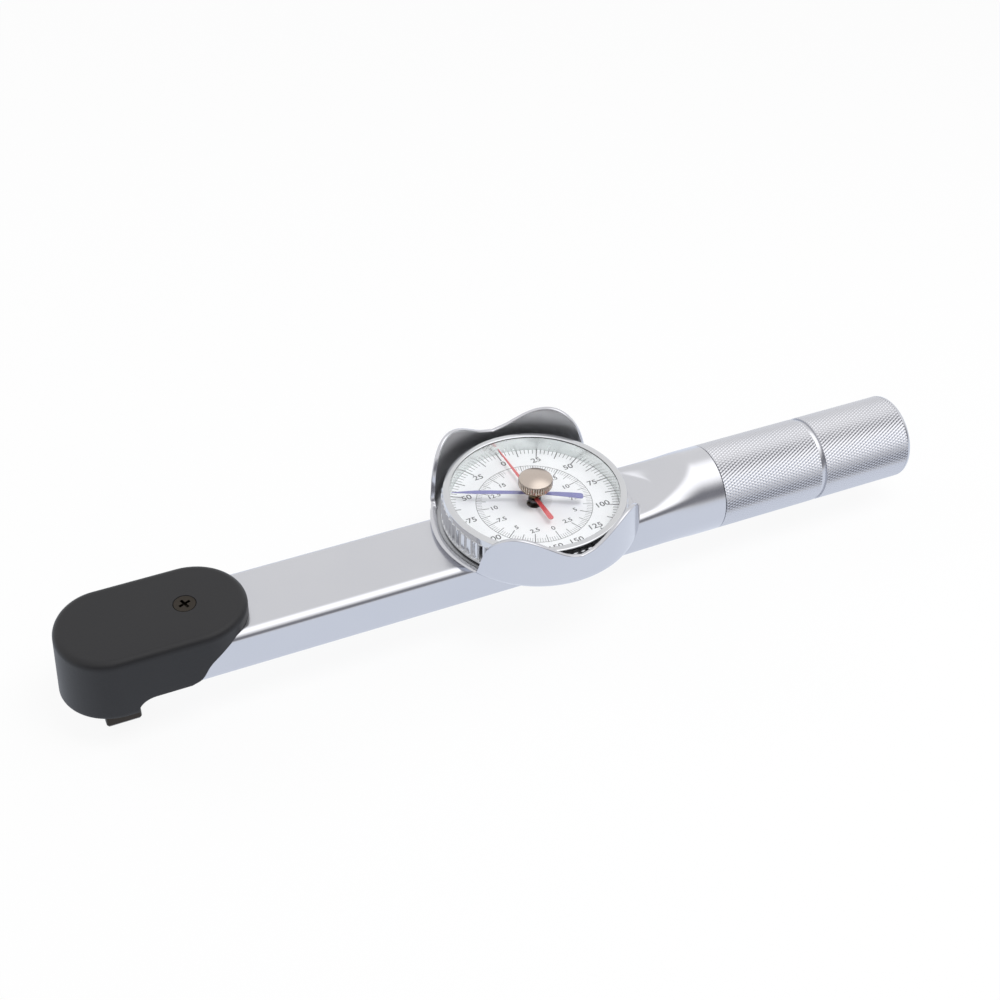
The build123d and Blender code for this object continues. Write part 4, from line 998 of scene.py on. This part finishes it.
def bezel_profile():
    """(radius, height, flute share) over the rim from the window, down the outside and back up inside."""
    rim = BEZEL_R - RIM_STEP
    return [
        (WINDOW_R, CRYSTAL_TOP + 0.02, 0),
        (WINDOW_R + 0.03, BEZEL_TOP - 0.06, 0),
        (WINDOW_R + 0.12, BEZEL_TOP, 0),
        (rim - 0.46, BEZEL_TOP, 0),
        (rim - 0.18, BEZEL_TOP - 0.07, 0),
        (rim - 0.04, BEZEL_TOP - 0.22, 0),
        (rim, BEZEL_TOP - 0.45, 0),
        (rim, FLUTE_TOP + 0.06, 0),
        (BEZEL_R - 0.10, FLUTE_TOP, 0.45),
        (BEZEL_R, FLUTE_TOP - 0.12, 0.98),
        (BEZEL_R, FLUTE_TOP - 0.6, 1),
        (BEZEL_R, BEZEL_BOTTOM + 1.3, 1),
        (BEZEL_R, BEZEL_BOTTOM + 0.95, 0.8),
        (BEZEL_R, BEZEL_BOTTOM + 0.8, 0),
        (BEZEL_R, BEZEL_BOTTOM + 0.2, 0),
        (BEZEL_R - 0.2, BEZEL_BOTTOM, 0),
        (SKIRT_R, BEZEL_BOTTOM, 0),
        (SKIRT_R, LEDGE_BOTTOM, 0),
        (LEDGE_R, LEDGE_BOTTOM, 0),
        (LEDGE_R, LEDGE_TOP, 0),
        (WINDOW_R, LEDGE_TOP, 0),
        (WINDOW_R, CRYSTAL_BOTTOM, 0),
        (WINDOW_R + 0.4, CRYSTAL_BOTTOM, 0),
        (WINDOW_R + 0.4, CRYSTAL_TOP + 0.02, 0),
    ]


def fluted_bezel():
    """The turned profile with its flutes, and which of its faces are the wall under the crystal."""
    table = np.array(bezel_profile())
    a = ring_angles(FLUTES * FLUTE_SAMPLES)
    rings = dial_rings(table, a, FLUTE_DEPTH, flute(a))
    bezel = from_rings("fluted_bezel", rings, close_stack=True, smooth=38)
    wall_ring = len(table) - 4
    return bezel, bands_between(bezel, wall_ring, wall_ring + 1, len(a))


bezel_piece, window_wall = fluted_bezel()
dress(bezel_piece, "bezel_chrome", "bezel", "bezel")
second_finish(bezel_piece, window_plate, window_wall)

# %% [markdown]
# The knob is turned from bar and plated in satin nickel: a shallow dome, a straight-knurled band and a bowl
# that goes down to its neck.
# A lathe profile with a Screw modifier gives the turned form but no teeth, so each ring's radius is drawn
# in between the teeth, by the ring's own share.
# The bowl takes a darker brass colour, and the gaps between the teeth take the same brown as painted shade.

# %% Memory knob
KNOB_R = (knob_high[1] - knob_low[1]) / 2
KNOB_BOTTOM, KNOB_TOP = knob_low[2], knob_high[2]
KNOB_TEETH = 40
KNOB_TOOTH = 0.30
TOOTH_SAMPLES = 6
# Tooth depth share past which a face in a gap between the teeth gets painted shade.
GAP_SHADE_DEPTH = 0.55
KNOB_CONE_H, KNOB_BAND_H = 1.45, 2.2
KNOB_BOWL = [(2.75, 0.03), (3.35, 0.12), (3.9, 0.36), (4.25, 0.68), (4.45, 1.1)]
SOCKET_R = 1.3
NECK_R = 2.6


def knob_profile():
    """(radius, height, tooth share) from the socket up the bowl and band; the dome is part of a sphere."""
    band_bottom = KNOB_BOTTOM + KNOB_CONE_H
    band_top = band_bottom + KNOB_BAND_H
    dome_h = KNOB_TOP - band_top
    sphere = (KNOB_R ** 2 + dome_h ** 2) / (2 * dome_h)
    profile = [(SOCKET_R, KNOB_BOTTOM, 0), (NECK_R, KNOB_BOTTOM, 0)]
    profile += [(r, KNOB_BOTTOM + rise, 0) for r, rise in KNOB_BOWL]
    profile += [
        (KNOB_R - 0.34, band_bottom - 0.03, 0),
        (KNOB_R - 0.08, band_bottom + 0.05, 0.8),
        (KNOB_R, band_bottom + 0.18, 1),
        (KNOB_R, band_top - 0.14, 1),
        (KNOB_R - 0.06, band_top - 0.04, 0.75),
    ]
    for t in np.linspace(1, 0.02, 18):
        a = t * math.asin((KNOB_R - 0.24) / sphere)
        profile.append((sphere * math.sin(a), KNOB_TOP - sphere * (1 - math.cos(a)), 0))
    return profile


def memory_knob():
    """The turned and toothed knob, and which of its faces take the darker brass: the bowl, and the gaps
    between the teeth as painted shade.
    """
    a = ring_angles(KNOB_TEETH * TOOTH_SAMPLES)
    tooth = 1 - triangle_wave(a / (2 * np.pi) * KNOB_TEETH)
    rings = dial_rings(np.array(knob_profile()), a, KNOB_TOOTH, tooth)
    knob = from_rings("domed_knob", rings, smooth=24)
    face = np.arange(len(knob.data.polygons))
    ring, place = face // len(a), face % len(a)
    middle = (tooth + np.roll(tooth, -1)) / 2
    bowl = ring < len(KNOB_BOWL) + 2
    shaded_gaps = (ring < len(KNOB_BOWL) + 6) & (middle[place] > GAP_SHADE_DEPTH)
    return knob, bowl | shaded_gaps


knob_piece, bowl_and_shaded_gaps = memory_knob()
dress(knob_piece, "knob_nickel", "memory", "memory_knob")
# The bowl gets the brass colour, and the gaps between the teeth get it as painted shade.
second_finish(knob_piece, brass_and_shade, bowl_and_shaded_gaps)

# %% [markdown]
# Each pointer is a blade of painted sheet.
# A bevelled curve could draw one, but a list of half widths along its length keeps the outline exact.
# The red one sits on a dark steel hub and follows the torque; the violet one hangs under the knob and is
# pushed along by the red one.
# The violet blade's two ends are bent down a little towards the dial, so that it is read without parallax.

# %% Pointers
RED_LOW, RED_HIGH = node_box("torque_pointer")
VIOLET_Z = node_box("memory_pointer")[0][2]
POINTER_T, MEMORY_T = 0.3, 0.25
RED_Z = RED_HIGH[2] - POINTER_T
POINTER_ANGLE, MEMORY_ANGLE = 92.0, 155.0
RED_BLADE = [
    (23.35, 0.03), (23.0, 0.16), (16.0, 0.30), (8.0, 0.42), (3.0, 0.52), (0.0, 0.58), (-3.0, 0.60),
    (-7.0, 0.70), (-9.6, 0.78), (-10.1, 0.66), (-10.38, 0.36), (-10.42, 0.04),
]
VIOLET_BLADE = [
    (23.4, 0.03), (23.0, 0.10), (20.0, 0.40), (17.0, 0.66), (13.0, 0.72), (8.0, 0.66), (3.0, 0.60),
    (0.0, 0.60), (-3.0, 0.60), (-6.0, 0.76), (-10.0, 1.00), (-12.9, 1.12), (-13.35, 0.96), (-13.58, 0.52),
    (-13.6, 0.05),
]
PAINT_EDGE = 0.06
VIOLET_DROOP = 0.75
STAFF_R, HUB_R = 1.02, 1.8


def blade(name, stations, turn, z_low, thick, droop):
    """Four rings of one outline: out along one side and back along the other, drawn in at both faces.

    A point at r along the blade sinks by droop times the square of its share of the blade's own end.
    """
    along, half = np.array(stations).T
    ends = np.where(along > 0, along.max(), -along.min())
    sink = droop * (along / ends) ** 2
    c, s = math.cos(math.radians(turn)), math.sin(math.radians(turn))
    rings = []
    for rise, inset in ((0, PAINT_EDGE), (PAINT_EDGE, 0), (thick - PAINT_EDGE, 0), (thick, PAINT_EDGE)):
        width = np.maximum(half - inset, 0.02)
        x = np.concatenate([along, along[::-1]])
        y = np.concatenate([width, -width[::-1]])
        z = z_low + rise - np.concatenate([sink, sink[::-1]])
        rings.append(np.column_stack([DIAL_X + x * c - y * s, x * s + y * c, z]))
    return from_rings(name, np.stack(rings), smooth=30)


red_blade = blade("red_blade", RED_BLADE, POINTER_ANGLE, RED_Z, POINTER_T, 0.0)
dress(red_blade, "red_hand", "pointer", "torque_pointer")
violet_blade = blade("violet_blade", VIOLET_BLADE, MEMORY_ANGLE, VIOLET_Z, MEMORY_T, VIOLET_DROOP)
dress(violet_blade, "violet_hand", "memory", "memory_pointer")
print(f"the violet blade lies {VIOLET_Z - RED_HIGH[2]:.2f} mm above the red one")

# %% Pointer hub
hub_profile = [(STAFF_R, RED_LOW[2]), (HUB_R - 0.12, RED_LOW[2]), (HUB_R, RED_LOW[2] + 0.12)]
hub_profile += [(HUB_R, RED_Z - 0.14), (HUB_R - 0.12, RED_Z - 0.02), (STAFF_R, RED_Z - 0.02)]
dress_in(turned("pointer_hub", hub_profile, 48), hub_steel, "pointer")
print(f"hub {RED_Z - RED_LOW[2]:.2f} mm high")

# %% [markdown]
# A printed dial is ink on white enamel, so its marks are thin raised shapes in their own dark finish.
# Marks made as geometry stay crisp at any distance, where a texture would need pixels.
# The outer scale reads inch pounds both ways from zero; the inner one reads newton metres from a zero on
# the far side.

# %% Dial marks
INK_RISE, INK_SUNK = 0.02, 0.01
OUTER_ZERO, INNER_ZERO = 92.4, -88.5
OUTER_DEG_PER_UNIT = 1.166
INNER_DEG_PER_UNIT = OUTER_DEG_PER_UNIT * 150 / 16.95
OUTER_STEP, OUTER_TICKS = 2.5, 60
INNER_STEP, INNER_TICKS = 0.25, 67
SCALE_RING_R, SCALE_RING_W = 16.4, 0.13
OUTER_TICK_R = 23.85


def tick_value(k, numbered, middle, fine):
    """The value for the kth tick: every tenth is numbered and every fifth is a middle one."""
    if k % 10 == 0:
        return numbered
    return middle if k % 5 == 0 else fine


def scale_marks():
    """(angle, inner radius, outer radius, width) of every tick of both scales."""
    marks = []
    for k in range(-OUTER_TICKS, OUTER_TICKS + 1):
        angle = OUTER_ZERO + k * OUTER_STEP * OUTER_DEG_PER_UNIT
        inner = OUTER_TICK_R - tick_value(k, 3.2, 3.0, 1.75)
        marks.append((angle, inner, OUTER_TICK_R, tick_value(k, 0.30, 0.26, 0.16)))
    for k in range(-INNER_TICKS, INNER_TICKS + 1):
        angle = INNER_ZERO + k * INNER_STEP * INNER_DEG_PER_UNIT
        inner = SCALE_RING_R - tick_value(k, 3.4, 2.7, 1.6)
        marks.append((angle, inner, SCALE_RING_R, tick_value(k, 0.21, 0.17, 0.09)))
    return marks


def bar_marks(name, marks):
    """Thin bars, all in one mesh: each is a rectangle along its angle, with a lower and an upper face."""
    table = np.array(marks, float)
    a = np.radians(table[:, 0])
    along = np.stack([np.cos(a), np.sin(a)], -1)
    across = np.stack([-np.sin(a), np.cos(a)], -1) * table[:, 3:] / 2
    centre = np.array([DIAL_X, 0.0])
    inner = centre + along * table[:, 1:2]
    outer = centre + along * table[:, 2:3]
    corners = np.stack([inner - across, outer - across, outer + across, inner + across], 1)
    low = np.concatenate([corners, np.full(corners.shape[:2] + (1,), DIAL_TOP - INK_SUNK)], -1)
    high = low + [0, 0, INK_RISE + INK_SUNK]
    points = np.concatenate([low, high], 1).reshape(-1, 3)
    sides = [[3, 2, 1, 0], [4, 5, 6, 7], [0, 1, 5, 4], [1, 2, 6, 5], [2, 3, 7, 6], [3, 0, 4, 7]]
    base = np.arange(len(marks))[:, None, None] * 8
    faces = (base + np.array(sides)[None]).reshape(-1, 4).tolist()
    return finish_mesh(name, points, faces, None)


def ink_ring(name, radius, width):
    """A thin printed circle."""
    z0, z1 = DIAL_TOP - INK_SUNK, DIAL_TOP + INK_RISE
    profile = [(radius, z0), (radius, z1), (radius + width, z1), (radius + width, z0)]
    return turned(name, profile, 240, None)


ticks = scale_marks()
dress_in(bar_marks("scale_ticks", ticks), ink, "bezel")
dress_in(ink_ring("scale_ring", SCALE_RING_R, SCALE_RING_W), ink, "bezel")
print(len(ticks), "ticks on two scales")

# %% [markdown]
# The numbers are the plain figures that any such dial has.
# Cutting each figure by hand would be long work, and Blender's own font gives an even, legible one.
# The text becomes a mesh before it is put in its place, so that its object stays at the origin.

# %% Dial numbers
NUMBER_WEIGHT = 0.025
NUMBER_WIDTH = 1.12
OUTER_NUMBER_R, INNER_NUMBER_R = 19.15, 11.65
OUTER_NUMBER_SIZE, INNER_NUMBER_SIZE = 2.7, 2.1
OUTER_NUMBER_STEP, INNER_NUMBER_STEP = 25, 2.5
NUMBERS_EACH_WAY = 6
LAST_NUMBER_SHY = 4.5


def number(name, value, radius, angle, size):
    """A number as a thin solid, upright to a reader whose up is +Y, centred at its place on the dial."""
    curve = bpy.data.curves.new(name, "FONT")
    curve.body = f"{value:g}"
    curve.size = size * MM
    curve.align_x = "CENTER"
    curve.align_y = "CENTER"
    curve.extrude = INK_RISE / 2 * MM
    curve.offset = NUMBER_WEIGHT * MM
    carrier = bpy.data.objects.new(name, curve)
    scene.collection.objects.link(carrier)
    bpy.context.view_layer.update()
    mesh = bpy.data.meshes.new_from_object(carrier.evaluated_get(bpy.context.evaluated_depsgraph_get()))
    bpy.data.objects.remove(carrier)
    a = math.radians(angle)
    place = Vector((DIAL_X + radius * math.cos(a), radius * math.sin(a), DIAL_TOP + INK_RISE / 2)) * MM
    upright = Matrix.Rotation(math.radians(OUTER_ZERO - 90), 4, "Z")
    mesh.transform(Matrix.Translation(place) @ upright @ Matrix.Diagonal((NUMBER_WIDTH, 1, 1, 1)))
    mesh.materials.clear()
    piece = bpy.data.objects.new(name, mesh)
    scene.collection.objects.link(piece)
    dress_in(piece, ink, "bezel")


number("outer_0", 0, OUTER_NUMBER_R, OUTER_ZERO, OUTER_NUMBER_SIZE)
number("inner_0", 0, INNER_NUMBER_R, INNER_ZERO, INNER_NUMBER_SIZE)
for side, mark in ((1, "left"), (-1, "right")):
    for k in range(1, NUMBERS_EACH_WAY + 1):
        value = OUTER_NUMBER_STEP * k
        shy = LAST_NUMBER_SHY if k == NUMBERS_EACH_WAY else 0
        angle = OUTER_ZERO + side * (value * OUTER_DEG_PER_UNIT - shy)
        number(f"outer_{mark}_{value}", value, OUTER_NUMBER_R, angle, OUTER_NUMBER_SIZE)
        angle = INNER_ZERO - side * INNER_NUMBER_STEP * k * INNER_DEG_PER_UNIT
        number(f"inner_{mark}_{k}", INNER_NUMBER_STEP * k, INNER_NUMBER_R, angle, INNER_NUMBER_SIZE)
print(2 + 4 * NUMBERS_EACH_WAY, "numbers on the dial")

# %% [markdown]
# The floor is pale and plain, and keeps only a soft shadow.
# Paint alone would go grey away from the lamps, and more light on it would wash out the tool.
# So the sheet is mostly its own light to the eye, to mirrors and to glass, and plain paint to the rest.

# %% Floor
FLOOR_IN_METAL = (0.94, 1.0, 1.11, 1)
FLOOR_SHARE = 0.91
FLOOR_HALF = 3.0


def floor_paint():
    """White paint with its own light mixed in, tinted where metal mirrors it."""
    material, tree, shader = start_material("pale_floor")
    shader.inputs["Base Color"].default_value = (0.86, 0.86, 0.87, 1)
    shader.inputs["Roughness"].default_value = 0.9
    shader.inputs["Specular IOR Level"].default_value = 0.0
    path = tree.nodes.new("ShaderNodeLightPath")
    seen = mix_colour(tree, path.outputs["Is Glossy Ray"], WHITE, FLOOR_IN_METAL)
    glow = add(tree, "ShaderNodeEmission", Color=seen, Strength=1.0)
    sharp = maths(tree, "MAXIMUM", path.outputs["Is Camera Ray"], path.outputs["Is Glossy Ray"])
    sharp = maths(tree, "MAXIMUM", sharp, path.outputs["Is Transmission Ray"])
    show_instead(tree, mix_shaders(tree, maths(tree, "MULTIPLY", sharp, FLOOR_SHARE), shader, glow))
    return material


def pale_floor():
    """A wide level sheet that the tool rests on."""
    mesh = bpy.data.meshes.new("pale_floor")
    corners = [(x * FLOOR_HALF, y * FLOOR_HALF, 0) for x, y in ((-1, -1), (1, -1), (1, 1), (-1, 1))]
    mesh.from_pydata(corners, [], [(0, 1, 2, 3)])
    floor = bpy.data.objects.new("pale_floor", mesh)
    scene.collection.objects.link(floor)
    mesh.materials.append(floor_paint())
    print(f"floor {2 * FLOOR_HALF:.0f} m square")


pale_floor()

# %% [markdown]
# The two corners of a box can be turned into lists of plain numbers.

# %% Sizes
def plain(bounds):
    """The box's two corners as lists of plain numbers."""
    return [[float(v) for v in corner] for corner in bounds]
